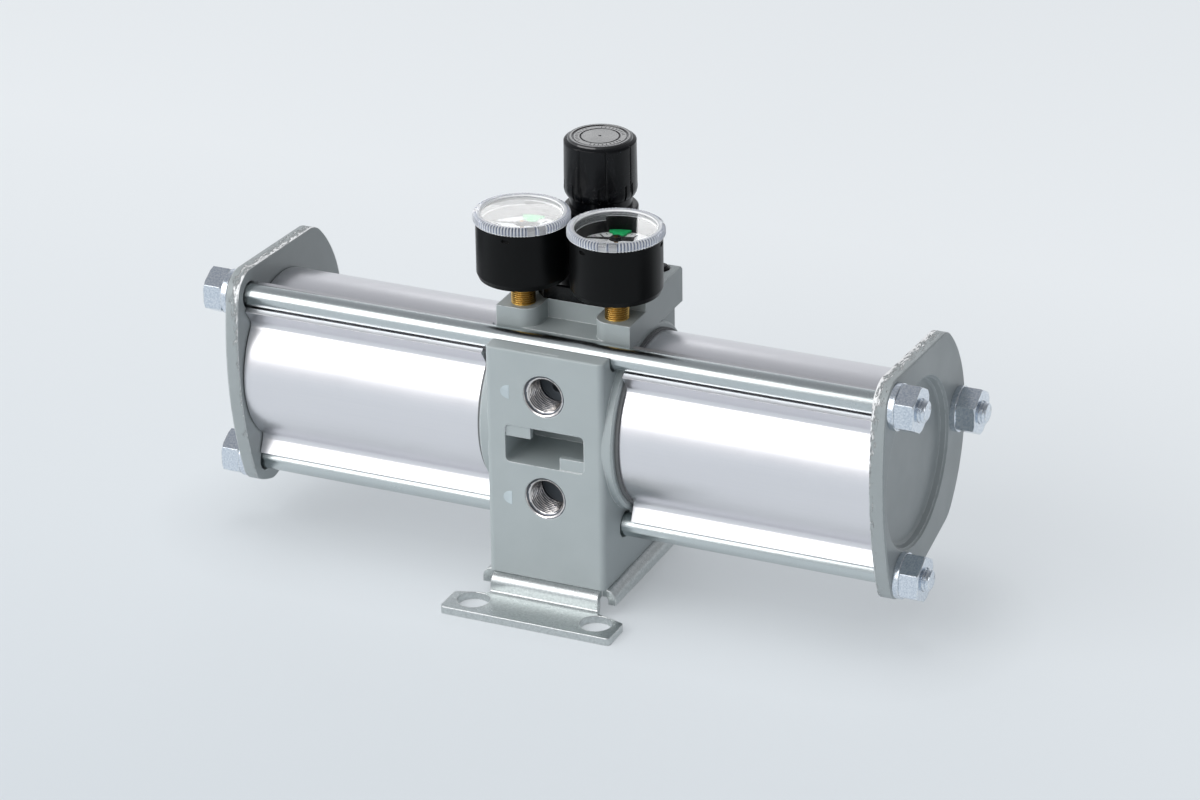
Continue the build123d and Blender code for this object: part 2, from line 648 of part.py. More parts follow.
def mounting_bracket():
    # one sheet: feet at front and back, a raised plate, and its long sides folded down as rails
    strip = along_x(foot_strip_face(), -BRACKET_WIDTH / 2, BRACKET_WIDTH / 2)
    strip = strip & extrude(foot_plan(), BODY_BOTTOM)
    rails = extrude(Plane.XZ.offset(-RAIL_HALF_LENGTH) * rail_face(), 2 * RAIL_HALF_LENGTH)
    part = strip + rails
    for x in (-FOOT_PITCH_X / 2, FOOT_PITCH_X / 2):
        for y in (-FOOT_PITCH_Y / 2, FOOT_PITCH_Y / 2):
            part -= disc_z(FOOT_HOLE_DIAMETER / 2, 0, SHEET, x, y)
    for x, y in base_screw_places():
        part -= disc_z(BASE_SCREW_RADIUS + HOLE_CLEARANCE, BODY_BOTTOM - SHEET, BODY_BOTTOM, x, y)
    return part


def base_screw(place):
    underside = BODY_BOTTOM - SHEET
    shank = disc_z(BASE_SCREW_RADIUS - 0.02, underside, BODY_BOTTOM + BASE_SCREW_LENGTH - 2, *place)
    head = disc_z(BASE_SCREW_HEAD_RADIUS, underside - BASE_SCREW_HEAD, underside, *place)
    key = Pos(*place) * RegularPolygon(2.2, 6)
    socket = extrude(Plane.XY.offset(underside - BASE_SCREW_HEAD) * key, 1.8)
    return shank + head - socket


# Pistons
def piston():
    inner = PISTON_CENTRE - PISTON_THICKNESS / 2
    outer = PISTON_CENTRE + PISTON_THICKNESS / 2
    disc = disc_x(BORE_RADIUS - PISTON_RUNNING_GAP, inner, outer)
    disc = chamfer(disc.edges().filter_by(GeomType.CIRCLE), 1.0)
    middle = PISTON_CENTRE
    groove = BORE_RADIUS - PISTON_SEAL_DEPTH
    disc -= ring_x(BORE_RADIUS, groove, middle - PISTON_SEAL_WIDTH / 2, middle + PISTON_SEAL_WIDTH / 2)
    disc -= disc_x(PISTON_BOLT_RADIUS, inner, outer)
    disc -= disc_x(PISTON_BOLT_HEAD_RADIUS + HOLE_CLEARANCE, outer - PISTON_BOLT_HEAD, outer)
    return disc


def piston_seal():
    half = PISTON_SEAL_WIDTH / 2 - 0.1
    return ring_x(BORE_RADIUS - SEAL_RUNNING_GAP, BORE_RADIUS - PISTON_SEAL_DEPTH + 0.02,
                  PISTON_CENTRE - half, PISTON_CENTRE + half)


def piston_rod():
    end = PISTON_CENTRE - PISTON_THICKNESS / 2
    rod = disc_x(PISTON_ROD_RADIUS, -end, end)
    rod = chamfer(rod.edges().filter_by(GeomType.CIRCLE), 0.8)
    depth = PISTON_BOLT_LENGTH - PISTON_THICKNESS + PISTON_BOLT_HEAD
    rod -= disc_x(PISTON_BOLT_RADIUS, end - depth, end)
    return rod - disc_x(PISTON_BOLT_RADIUS, -end, depth - end)


def piston_bolt():
    outer = PISTON_CENTRE + PISTON_THICKNESS / 2
    seat = outer - PISTON_BOLT_HEAD
    shank = disc_x(PISTON_BOLT_RADIUS - 0.02, seat - PISTON_BOLT_LENGTH + 2, seat)
    head = disc_x(PISTON_BOLT_HEAD_RADIUS, seat, outer - 0.5)
    socket = along_x(Pos(AXIS_Y, AXIS_Z) * RegularPolygon(4.0, 6), outer - 3.0, outer - 0.5)
    return shank + head - socket


def rod_bush():
    outer = PISTON_ROD_RADIUS + BUSH_WALL - 0.01
    return ring_x(outer, PISTON_ROD_RADIUS + FIT_GAP, -BUSH_LENGTH / 2, BUSH_LENGTH / 2)


def rod_seal():
    outer = PISTON_ROD_RADIUS + BUSH_WALL - 0.01
    start = BUSH_LENGTH / 2 + 0.2
    return ring_x(outer, PISTON_ROD_RADIUS + FIT_GAP, start, start + ROD_SEAL_WIDTH)


# Switching valve
def valve_sleeve():
    outer = SPOOL_RADIUS + SLEEVE_WALL - 0.01
    end = COLLAR_FACE - END_PLUG_LENGTH
    sleeve = ring_x(outer, SPOOL_RADIUS + FIT_GAP, -end, end, VALVE_Y, VALVE_Z)
    for x in (-2 * SPOOL_LAND, 2 * SPOOL_LAND):
        sleeve -= disc_z(PASSAGE_RADIUS, VALVE_Z - outer, VALVE_Z + outer, x, VALVE_Y)
    return sleeve - disc_y(PASSAGE_RADIUS, VALVE_Y, VALVE_Y + outer, 0, VALVE_Z)


def switching_spool():
    spool = disc_x(SPOOL_WAIST_RADIUS, -SPOOL_HALF_LENGTH, SPOOL_HALF_LENGTH, VALVE_Y, VALVE_Z)
    half = SPOOL_LAND / 2
    for x in (-SPOOL_HALF_LENGTH + half, 0, SPOOL_HALF_LENGTH - half):
        spool += disc_x(SPOOL_RADIUS, x - half, x + half, VALVE_Y, VALVE_Z)
    return spool


def push_pin():
    # reaches out of the body by the throw, so that the piston moves it at the end of its stroke
    tip = COLLAR_FACE + PISTON_GAP + VALVE_THROW
    pin = disc_x(PIN_RADIUS, SPOOL_HALF_LENGTH, tip - 0.1, VALVE_Y, VALVE_Z)
    return fillet(pin.edges().filter_by(GeomType.CIRCLE).sort_by(Axis.X)[-1], 0.8)


def valve_end_plug():
    outer = SPOOL_RADIUS + SLEEVE_WALL - 0.01
    return ring_x(outer, PIN_RADIUS + FIT_GAP, COLLAR_FACE - END_PLUG_LENGTH, COLLAR_FACE, VALVE_Y, VALVE_Z)


# Check valves, drawn for the right-hand side
def check_ring(z):
    # retainer or seat, pressed into the mouth of its pocket
    return ring_x(CHECK_POCKET_RADIUS - 0.01, CHECK_RING_BORE, COLLAR_FACE - CHECK_RING_LENGTH, COLLAR_FACE,
                  CHECK_Y, z)


def check_disc(start, z):
    disc = disc_x(CHECK_DISC_RADIUS, start, start + CHECK_DISC_THICKNESS, CHECK_Y, z)
    return chamfer(disc.edges().filter_by(GeomType.CIRCLE), 0.4)


def inlet_check_disc():
    # closed against the floor of its pocket, opens towards the cylinder
    return check_disc(COLLAR_FACE - CHECK_POCKET_DEPTH, INLET_CHECK_Z)


def outlet_check_disc():
    # closed against the seat ring, opens away from the cylinder
    return check_disc(COLLAR_FACE - CHECK_RING_LENGTH - CHECK_DISC_THICKNESS, OUTLET_CHECK_Z)


# Regulator
def bonnet():
    base = BOSS_TOP
    top = base + FLANGE_HEIGHT
    flange = extrude(Plane.XY.offset(base) * flange_face(), FLANGE_HEIGHT)
    flange = chamfer(flange.faces().sort_by(Axis.Z)[-1].outer_wire().edges(), 0.6)
    shoulder = BONNET_SHOULDER_RADIUS - LUG_RADIUS - BONNET_SCREW_HEAD_RADIUS / 4
    dome = turned_z([
        (0, top - 1),
        (shoulder + 3.0, top - 1),
        (shoulder + 1.5, top + 2),
        (BONNET_COLLAR_RADIUS, BONNET_TOP - 8),
        (BONNET_COLLAR_RADIUS, BONNET_TOP - 0.6),
        (BONNET_COLLAR_RADIUS - 0.6, BONNET_TOP),
        (BONNET_NECK_RADIUS, BONNET_TOP),
        (BONNET_NECK_RADIUS, BONNET_NECK_TOP - 1),
        (BONNET_NECK_RADIUS - 1, BONNET_NECK_TOP),
        (0, BONNET_NECK_TOP),
    ], 0, REGULATOR_Y)
    part = flange + dome
    roof = SEAT_TOP + 3
    part -= disc_z(SPRING_BORE_RADIUS, base, roof, 0, REGULATOR_Y)
    part -= disc_z(SCREW_COLLAR_RADIUS + FIT_GAP, roof, roof + SCREW_COLLAR + 0.2, 0, REGULATOR_Y)
    part -= disc_z(SCREW_RADIUS + FIT_GAP, roof, BONNET_NECK_TOP, 0, REGULATOR_Y)
    for x, y in lug_places():
        part -= disc_z(BONNET_SCREW_RADIUS + 0.2, base, top, x, y)
        seat = top - BONNET_SCREW_SINK
        part -= disc_z(BONNET_SCREW_HEAD_RADIUS + 0.2, seat, top + 2 * BONNET_SCREW_HEAD, x, y)
    return part


def bonnet_screw(place):
    top = BOSS_TOP + FLANGE_HEIGHT - BONNET_SCREW_SINK
    shank = disc_z(BONNET_SCREW_RADIUS - 0.02, BOSS_TOP - BONNET_SCREW_LENGTH + 2, top, *place)
    head = disc_z(BONNET_SCREW_HEAD_RADIUS, top, top + BONNET_SCREW_HEAD, *place)
    socket = extrude(Plane.XY.offset(top + BONNET_SCREW_HEAD) * Pos(*place) * RegularPolygon(1.7, 6), -1.6)
    return shank + fillet(head.edges().sort_by(Axis.Z)[-1], 0.5) - socket


def knob():
    top = KNOB_TOP
    shoulder = top - KNOB_CHAMFER
    shell = turned_z([
        (0, KNOB_BOTTOM),
        (KNOB_RADIUS - 1.0, KNOB_BOTTOM),
        (KNOB_RADIUS, KNOB_BOTTOM + 2.2),
        (KNOB_RADIUS - KNOB_DRAFT, shoulder),
        (KNOB_FACE_RADIUS + 0.3, top - 0.3),
        (KNOB_FACE_RADIUS, top),
        (0, top),
    ], 0, REGULATOR_Y)
    cavity = BONNET_NECK_RADIUS + 0.35
    shell -= disc_z(cavity, KNOB_BOTTOM, top - KNOB_CAP, 0, REGULATOR_Y)
    hub_bottom = BONNET_NECK_TOP + 0.5
    shell += disc_z(HUB_RADIUS, hub_bottom, top - KNOB_CAP, 0, REGULATOR_Y)
    socket = RegularPolygon(SCREW_HEX / 2 + FIT_GAP, 6, major_radius=False)
    shell -= extrude(Plane.XY.offset(hub_bottom) * Pos(0, REGULATOR_Y) * socket, top - KNOB_CAP - hub_bottom)
    groove = Box(2, KNOB_GROOVE_WIDTH, shoulder - KNOB_BOTTOM - 4)
    for i in range(KNOB_GROOVES):
        turn = Pos(0, REGULATOR_Y) * Rot(0, 0, 360 / KNOB_GROOVES * (i + 0.5))
        reach = KNOB_RADIUS + 1 - KNOB_GROOVE_DEPTH
        shell -= turn * Pos(reach, 0, (KNOB_BOTTOM + 2 + shoulder) / 2) * groove
    return shell


def adjusting_screw():
    roof = SEAT_TOP + 3
    top = KNOB_TOP - KNOB_CAP - KNOB_LIFT
    screw = disc_z(SCREW_RADIUS, SCREW_BOTTOM, BONNET_NECK_TOP + 0.5, 0, REGULATOR_Y)
    screw += disc_z(SCREW_COLLAR_RADIUS, roof, roof + SCREW_COLLAR, 0, REGULATOR_Y)
    hexagon = Pos(0, REGULATOR_Y) * RegularPolygon(SCREW_HEX / 2, 6, major_radius=False)
    start = BONNET_NECK_TOP + 0.5
    return screw + extrude(Plane.XY.offset(start) * hexagon, top - start)


def spring_seat():
    bottom = SEAT_TOP - SEAT_THICKNESS
    return turned_z([
        (SCREW_RADIUS + FIT_GAP, bottom - 4),
        (SPRING_RADIUS - SPRING_WIRE / 2 - 0.4, bottom - 4),
        (SPRING_RADIUS - SPRING_WIRE / 2 - 0.4, bottom),
        (SEAT_RADIUS, bottom),
        (SEAT_RADIUS, SEAT_TOP),
        (SCREW_RADIUS + FIT_GAP, SEAT_TOP),
    ], 0, REGULATOR_Y)


def plate_bottom():
    return BOSS_TOP + DIAPHRAGM_DOME


def regulating_spring():
    bottom = plate_bottom() + PLATE_THICKNESS
    top = SEAT_TOP - SEAT_THICKNESS
    return coil(SPRING_RADIUS, SPRING_WIRE, bottom, top, SPRING_TURNS, 0, REGULATOR_Y)


def diaphragm():
    # rubber disc, flat where it is clamped and domed up to the spring plate
    rim = BOSS_TOP - DIAPHRAGM_THICKNESS
    outer = DIAPHRAGM_RADIUS - FIT_GAP
    flat = CHAMBER_RADIUS - 0.5
    return turned_z([
        (VALVE_STEM_RADIUS + 0.1, rim + DIAPHRAGM_DOME),
        (PLATE_RADIUS - 1, rim + DIAPHRAGM_DOME),
        (flat, rim),
        (outer, rim),
        (outer, BOSS_TOP),
        (flat, BOSS_TOP),
        (PLATE_RADIUS - 1, BOSS_TOP + DIAPHRAGM_DOME),
        (VALVE_STEM_RADIUS + 0.1, BOSS_TOP + DIAPHRAGM_DOME),
    ], 0, REGULATOR_Y)


def diaphragm_plate():
    bottom = plate_bottom()
    plate = disc_z(PLATE_RADIUS, bottom, bottom + PLATE_THICKNESS, 0, REGULATOR_Y)
    boss = SPRING_RADIUS - SPRING_WIRE / 2 - 0.5
    return plate + disc_z(boss, bottom + PLATE_THICKNESS, bottom + PLATE_THICKNESS + 2, 0, REGULATOR_Y)


def valve_floor():
    return BOSS_TOP - DIAPHRAGM_THICKNESS - CHAMBER_DEPTH


def valve_seat():
    floor = valve_floor()
    outer = VALVE_BORE_RADIUS - 0.01
    return ring_z(outer, VALVE_SEAT_BORE, floor - VALVE_SEAT_LENGTH, floor, 0, REGULATOR_Y)


def regulator_poppet():
    seat = valve_floor() - VALVE_SEAT_LENGTH
    disc = disc_z(VALVE_DISC_RADIUS, seat - VALVE_DISC_THICKNESS, seat, 0, REGULATOR_Y)
    return disc + disc_z(VALVE_STEM_RADIUS, seat, plate_bottom(), 0, REGULATOR_Y)


def regulator_poppet_spring():
    floor = valve_floor()
    bottom = floor - VALVE_BORE_DEPTH
    top = floor - VALVE_SEAT_LENGTH - VALVE_DISC_THICKNESS
    return coil(VALVE_SPRING_RADIUS, VALVE_SPRING_WIRE, bottom, top, VALVE_SPRING_TURNS, 0, REGULATOR_Y)


# Gauges, drawn about their own axis
def window_bottom():
    return GAUGE_TOP - WINDOW_DROP - WINDOW_THICKNESS


def pointer_bottom():
    return DIAL_HEIGHT + POINTER_GAP


def case_notches(first):
    # shallow slots under the ring, spaced evenly round the case
    place = Plane(origin=(CASE_RADIUS, 0, RING_BOTTOM - CASE_NOTCH_DROP), x_dir=(0, 1, 0), z_dir=(1, 0, 0))
    slot = extrude(place * SlotOverall(CASE_NOTCH_LENGTH, CASE_NOTCH_HEIGHT), CASE_NOTCH_DEPTH, both=True)
    step = 360 / CASE_NOTCH_COUNT
    return [Rot(0, 0, first + step * i) * slot for i in range(CASE_NOTCH_COUNT)]


def gauge_case(angle):
    inner = CASE_RADIUS - CASE_WALL
    rim = CASE_RADIUS - 0.7
    ledge = inner - DIAL_LEDGE
    case = turned_z([
        (0, CASE_BOTTOM),
        (CASE_RADIUS - CASE_BOTTOM_RADIUS, CASE_BOTTOM),
        (CASE_RADIUS - CASE_BOTTOM_RADIUS * 0.29, CASE_BOTTOM + CASE_BOTTOM_RADIUS * 0.29),
        (CASE_RADIUS, CASE_BOTTOM + CASE_BOTTOM_RADIUS),
        (CASE_RADIUS, RING_BOTTOM),
        (rim, RING_BOTTOM),
        (rim, window_bottom() - FIT_GAP),
        (inner, window_bottom() - FIT_GAP),
        (inner, DIAL_HEIGHT - DIAL_THICKNESS),
        (ledge, DIAL_HEIGHT - DIAL_THICKNESS),
        (ledge, CASE_BOTTOM + CASE_WALL + 1),
        (0, CASE_BOTTOM + CASE_WALL + 1),
    ])
    case -= disc_z(GAUGE_STEM_RADIUS, CASE_BOTTOM, CASE_BOTTOM + CASE_WALL + 1)
    for notch in case_notches(angle):
        case -= notch
    return case


def gauge_stem():
    # threaded brass socket with the post and spindle of the movement
    floor = CASE_BOTTOM + CASE_WALL + 1
    return turned_z([
        (0, BOSS_TOP - GAUGE_THREAD_LENGTH),
        (GAUGE_THREAD_RADIUS, BOSS_TOP - GAUGE_THREAD_LENGTH),
        (GAUGE_THREAD_RADIUS, BOSS_TOP),
        (GAUGE_STEM_RADIUS, BOSS_TOP),
        (GAUGE_STEM_RADIUS, floor + 3),
        (3.0, floor + 3),
        (3.0, DIAL_HEIGHT - DIAL_THICKNESS),
        (SPINDLE_RADIUS, DIAL_HEIGHT - DIAL_THICKNESS),
        (SPINDLE_RADIUS, pointer_bottom() + 1.4),
        (0, pointer_bottom() + 1.4),
    ])


def gauge_dial():
    radius = CASE_RADIUS - CASE_WALL - 0.02
    return ring_z(radius, SPINDLE_RADIUS + 0.3, DIAL_HEIGHT - DIAL_THICKNESS, DIAL_HEIGHT)


def gauge_pointer(angle):
    height = pointer_bottom()
    needle = make_face(Polyline(
        (-POINTER_TAIL, -1.7), (0, -1.7), (2.5, -0.7), (POINTER_LENGTH, -0.2),
        (POINTER_LENGTH, 0.2), (2.5, 0.7), (0, 1.7), (-POINTER_TAIL, 1.7),
        close=True,
    ))
    pointer = extrude(Plane.XY.offset(height) * (needle + Circle(POINTER_HUB_RADIUS)), POINTER_THICKNESS)
    pointer += disc_z(POINTER_HUB_RADIUS - 0.8, height + POINTER_THICKNESS, height + 1.2)
    return Rot(0, 0, angle) * (pointer - disc_z(SPINDLE_RADIUS + FIT_GAP, height, height + 1.2))


def polar(radius, angle):
    return (radius * cos(radians(angle)), radius * sin(radians(angle)))


def limit_marker(angle):
    # arc that stands on the rim of the dial, with one tab that points inwards above it
    outer = CASE_RADIUS - CASE_WALL - FIT_GAP
    inner = outer - MARKER_RING_WIDTH
    tip = inner - MARKER_TAB
    half = [
        (inner + 0.4, 15.5), (inner - 0.7, 15.5), (inner - 1.0, 12.5),
        (tip + 1.4, 12.5), (tip + 0.2, 8.0),
    ]
    points = [polar(r, a) for r, a in half] + [polar(r, -a) for r, a in reversed(half)]
    wedge = [(0, 0), polar(2 * outer, MARKER_HALF_ANGLE), polar(2 * outer, -MARKER_HALF_ANGLE)]
    arc = (Circle(outer) - Circle(inner)) & make_face(Polyline(*wedge, close=True))
    face = arc + make_face(Polyline(*points, close=True))
    marker = extrude(Plane.XY.offset(DIAL_HEIGHT) * arc, MARKER_RISE + MARKER_THICKNESS)
    marker += extrude(Plane.XY.offset(DIAL_HEIGHT + MARKER_RISE) * face, MARKER_THICKNESS)
    return Rot(0, 0, angle) * marker


def gauge_cover():
    # clear cap: a recessed window and the ring round it in one moulding
    inner = CASE_RADIUS - 0.7 + FIT_GAP
    step = RING_RADIUS - RING_STEP
    return turned_z([
        (0, GAUGE_TOP - WINDOW_DROP),
        (step - 0.5, GAUGE_TOP - WINDOW_DROP),
        (step, GAUGE_TOP),
        (RING_RADIUS - 1.2, GAUGE_TOP),
        (RING_RADIUS - 0.35, GAUGE_TOP - 0.35),
        (RING_RADIUS, GAUGE_TOP - 1.2),
        (RING_RADIUS, RING_BOTTOM + FIT_GAP),
        (inner, RING_BOTTOM + FIT_GAP),
        (inner, window_bottom()),
        (0, window_bottom()),
    ])


# Nodes
def build_nodes():
    right_tube = cylinder_tube()
    right_cover = end_cover()
    nodes = {
        "body": body(),
        "cylinder_tube_right": right_tube,
        "cylinder_tube_left": mirrored(right_tube),
        "end_cover_right": right_cover,
        "end_cover_left": mirrored(right_cover),
        "cover_seals": both_sides(cover_seal()),
        "body_gaskets": both_sides(body_gasket()),
        "tie_rod_front_top": tie_rod(FRONT_ROD),
        "tie_rod_front_bottom": tie_rod(BOTTOM_ROD),
        "tie_rod_back": tie_rod(BACK_ROD),
        "tie_rod_nuts": [n for p in ROD_PLACES for n in both_sides(rod_nut(p))],
        "spring_washers": [w for p in ROD_PLACES for w in both_sides(spring_washer(p))],
        "mounting_bracket": mounting_bracket(),
        "base_screws": [base_screw(p) for p in base_screw_places()],
        "piston_right": piston(),
        "piston_left": mirrored(piston()),
        "piston_seals": both_sides(piston_seal()),
        "piston_rod": piston_rod(),
        "piston_bolts": both_sides(piston_bolt()),
        "rod_bush": rod_bush(),
        "rod_seals": both_sides(rod_seal()),
        "valve_sleeve": valve_sleeve(),
        "switching_spool": switching_spool(),
        "push_pins": both_sides(push_pin()),
        "valve_end_plugs": both_sides(valve_end_plug()),
        "inlet_check_retainers": both_sides(check_ring(INLET_CHECK_Z)),
        "outlet_check_seats": both_sides(check_ring(OUTLET_CHECK_Z)),
        "bonnet": bonnet(),
        "bonnet_screws": [bonnet_screw(p) for p in lug_places()],
        "knob": knob(),
        "adjusting_screw": adjusting_screw(),
        "spring_seat": spring_seat(),
        "regulating_spring": regulating_spring(),
        "diaphragm": diaphragm(),
        "diaphragm_plate": diaphragm_plate(),
        "regulator_valve_seat": valve_seat(),
        "regulator_poppet": regulator_poppet(),
        "regulator_poppet_spring": regulator_poppet_spring(),
    }
    checks = {
        "inlet_check_disc": inlet_check_disc(),
        "outlet_check_disc": outlet_check_disc(),
    }
    for name, piece in checks.items():
        nodes[name + "_right"] = piece
        nodes[name + "_left"] = mirrored(piece)
    for side, x in (("left", -GAUGE_X), ("right", GAUGE_X)):
        gauge = {
            "case": gauge_case(NOTCH_ANGLE[side]),
            "stem": gauge_stem(),
            "dial": gauge_dial(),
            "pointer": gauge_pointer(POINTER_ZERO[side]),
            "limit_marker": limit_marker(MARKER_ANGLE[side]),
            "clear_cover": gauge_cover(),
        }
        for name, piece in gauge.items():
            nodes[f"gauge_{side}_{name}"] = Pos(x, -GAUGE_Y, 0) * piece
    return nodes


os.makedirs("parts", exist_ok=True)
for node_name, shape in build_nodes().items():
    whole = Compound(children=shape) if isinstance(shape, list) else shape
    export_step(whole, f"parts/{node_name}.step")
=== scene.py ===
# %% [markdown]
# # Air pressure booster
# Two cylinders share one axis, with a cast body between them and a regulator knob and two pressure
# gauges on top. The CAD model is loaded as a fixed frame, and nothing of it is moved. The scene
# adds materials, the fine forms that the solids leave out, such as threads, knurls and dial print,
# and a small studio.

# %% Load the model
import json
from math import atan2, cos, floor, hypot, pi, radians, sin

import bpy
from mathutils import Matrix, Vector


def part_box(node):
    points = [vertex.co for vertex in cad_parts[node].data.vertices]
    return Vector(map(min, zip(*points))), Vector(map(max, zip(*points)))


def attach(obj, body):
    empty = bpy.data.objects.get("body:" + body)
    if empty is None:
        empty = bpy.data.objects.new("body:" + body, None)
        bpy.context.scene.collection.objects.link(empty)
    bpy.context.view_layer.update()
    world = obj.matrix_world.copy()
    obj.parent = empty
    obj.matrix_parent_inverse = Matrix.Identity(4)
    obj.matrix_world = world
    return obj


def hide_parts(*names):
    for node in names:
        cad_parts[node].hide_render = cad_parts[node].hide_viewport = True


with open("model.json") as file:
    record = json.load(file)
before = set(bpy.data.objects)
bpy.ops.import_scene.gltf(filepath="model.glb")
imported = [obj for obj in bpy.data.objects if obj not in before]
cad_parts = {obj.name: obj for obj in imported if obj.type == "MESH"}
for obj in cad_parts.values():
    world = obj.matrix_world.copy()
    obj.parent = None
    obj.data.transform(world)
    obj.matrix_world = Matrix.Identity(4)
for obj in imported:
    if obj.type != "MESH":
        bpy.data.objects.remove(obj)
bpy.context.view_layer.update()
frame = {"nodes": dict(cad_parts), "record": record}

NODES = frame["nodes"]

# %% [markdown]
# ## Camera
# The camera could be turned by eye until the picture looks right. Instead its direction, lens and
# distance were solved from the bracket's holes and corners, the tips of the tie rods and the rings
# of the gauges, so every piece lands where the photograph has it. The small shift only frames the
# picture.

# %% Place the camera
AZIMUTH = radians(24.65)
ELEVATION = radians(24.58)
ROLL = radians(-0.94)
DISTANCE = 1.83247
LOOK_AT = Vector((0, 0, 0.09))
LENS = 139.63
SENSOR_WIDTH = 36
SHIFT = (0.01475, -0.03125)
FARTHEST_SEEN = 50


def place_camera():
    back = Vector((sin(AZIMUTH) * cos(ELEVATION), -cos(AZIMUTH) * cos(ELEVATION), sin(ELEVATION)))
    level = Vector((cos(AZIMUTH), sin(AZIMUTH), 0))
    above = back.cross(level)
    right = level * cos(ROLL) + above * sin(ROLL)
    up = above * cos(ROLL) - level * sin(ROLL)
    data = bpy.data.cameras.new("camera")
    data.lens = LENS
    data.sensor_width = SENSOR_WIDTH
    data.shift_x, data.shift_y = SHIFT
    data.clip_end = FARTHEST_SEEN
    camera = bpy.data.objects.new("camera", data)
    bpy.context.scene.collection.objects.link(camera)
    turned_to = Matrix((right, up, back)).transposed().to_4x4()
    camera.matrix_world = Matrix.Translation(LOOK_AT + back * DISTANCE) @ turned_to
    bpy.context.scene.camera = camera
    return camera


bpy.context.scene.view_settings.view_transform = "Standard"
print("camera at", place_camera().matrix_world.translation)

# %% [markdown]
# ## Shader helpers
# Each material is a small node tree around one Principled shader. Writing every link by hand would
# hide what a material does, so short helpers add a node, fill it and hand back its output. What is
# given to a helper is either another node's output or a plain number or colour.

# %% Add, join and feed nodes


def add(tree, kind, **settings):
    node = tree.nodes.new(kind)
    for name, value in settings.items():
        if name in node.inputs:
            node.inputs[name].default_value = value
        else:
            setattr(node, name, value)
    return node


def join(tree, source, target):
    tree.links.new(source, target)


def feed(tree, value, socket):
    if isinstance(value, bpy.types.NodeSocket):
        join(tree, value, socket)
    elif socket.type == "RGBA":
        socket.default_value = (*value, 1)
    else:
        socket.default_value = value


print("node helpers ready")

# %% Sums, ranges, vectors and mixed colours


def calculate(tree, operation, first, second=None, clamp=False):
    node = add(tree, "ShaderNodeMath", operation=operation, use_clamp=clamp)
    feed(tree, first, node.inputs[0])
    if second is not None:
        feed(tree, second, node.inputs[1])
    return node.outputs["Value"]


def spread(tree, value, low, high, to_low=0.0, to_high=1.0):
    # low to high becomes to_low to to_high, and it is held there at both ends
    node = add(tree, "ShaderNodeMapRange")
    for label, given in (("Value", value), ("From Min", low), ("From Max", high),
                         ("To Min", to_low), ("To Max", to_high)):
        feed(tree, given, node.inputs[label])
    return node.outputs["Result"]


def vectors(tree, operation, first, second=(0, 0, 0)):
    node = add(tree, "ShaderNodeVectorMath", operation=operation)
    feed(tree, first, node.inputs[0])
    feed(tree, second, node.inputs[1])
    gives_number = operation in ("DOT_PRODUCT", "DISTANCE", "LENGTH")
    return node.outputs["Value" if gives_number else "Vector"]


def split(tree, vector):
    node = add(tree, "ShaderNodeSeparateXYZ")
    join(tree, vector, node.inputs["Vector"])
    return node.outputs


def combine(tree, **axes):
    node = add(tree, "ShaderNodeCombineXYZ")
    for axis, value in axes.items():
        feed(tree, value, node.inputs[axis])
    return node.outputs["Vector"]


def mix_colors(tree, factor, first, second, mode="MIX"):
    # the colour sockets of a Mix node are its sixth and seventh
    node = add(tree, "ShaderNodeMix", data_type="RGBA", blend_type=mode)
    for value, index in ((factor, 0), (first, 6), (second, 7)):
        feed(tree, value, node.inputs[index])
    return node.outputs[2]


print("sum helpers ready")

# %% Places, noise, rounded edges and bumps


def place_on(tree, stretch=(1, 1, 1)):
    # object coordinates, which are metres in the shared frame, squeezed along some axes
    coordinates = add(tree, "ShaderNodeTexCoord")
    mapping = add(tree, "ShaderNodeMapping", Scale=stretch)
    join(tree, coordinates.outputs["Object"], mapping.inputs["Vector"])
    return mapping.outputs["Vector"]


def noise(tree, scale, place=None, **settings):
    node = add(tree, "ShaderNodeTexNoise", **settings)
    join(tree, place_on(tree) if place is None else place, node.inputs["Vector"])
    feed(tree, scale, node.inputs["Scale"])
    return node.outputs["Fac"]


def rounded(tree, radius, samples=6):
    # the normal that a sharp edge would have if it were rounded
    node = add(tree, "ShaderNodeBevel", samples=samples)
    join(tree, radius, node.inputs["Radius"])
    return node.outputs["Normal"]


def relief(tree, height, depth, normal=None, invert=False):
    node = add(tree, "ShaderNodeBump", invert=invert)
    feed(tree, height, node.inputs["Height"])
    feed(tree, depth, node.inputs["Distance"])
    if normal is not None:
        join(tree, normal, node.inputs["Normal"])
    return node.outputs["Normal"]


print("surface helpers ready")

# %% [markdown]
# ## Shared effects
# Cast grain, drawing lines, uneven gloss, cloudy colour and worn edges, which also carry painted
# highlights, come back on many pieces, each time finer, coarser, deeper or weaker. Their nodes
# could be copied into every material.
# Instead each effect is a node group with named inputs and outputs. It is built once, and each
# material places it with its own values. All lengths are metres.

# %% Start a node group
NUMBER, VECTOR = "NodeSocketFloat", "NodeSocketVector"
GROUPS = {}


def new_group(name, inputs, outputs):
    tree = bpy.data.node_groups.new(name, "ShaderNodeTree")
    for label, value in inputs.items():
        socket = tree.interface.new_socket(label, in_out="INPUT", socket_type=NUMBER)
        socket.default_value = value
    for label, kind in outputs.items():
        tree.interface.new_socket(label, in_out="OUTPUT", socket_type=kind)
    GROUPS[name] = tree
    given, result = tree.nodes.new("NodeGroupInput"), tree.nodes.new("NodeGroupOutput")
    return tree, given.outputs, result.inputs


def use(tree, name, **inputs):
    node = tree.nodes.new("ShaderNodeGroup")
    node.node_tree = GROUPS[name]
    for label, value in inputs.items():
        node.inputs[label].default_value = value
    return node.outputs


print("group helpers ready")

# %% Bumpy surfaces: fine grain, drawn lines, moulded waves
LENGTHWISE = (0.006, 1, 1)


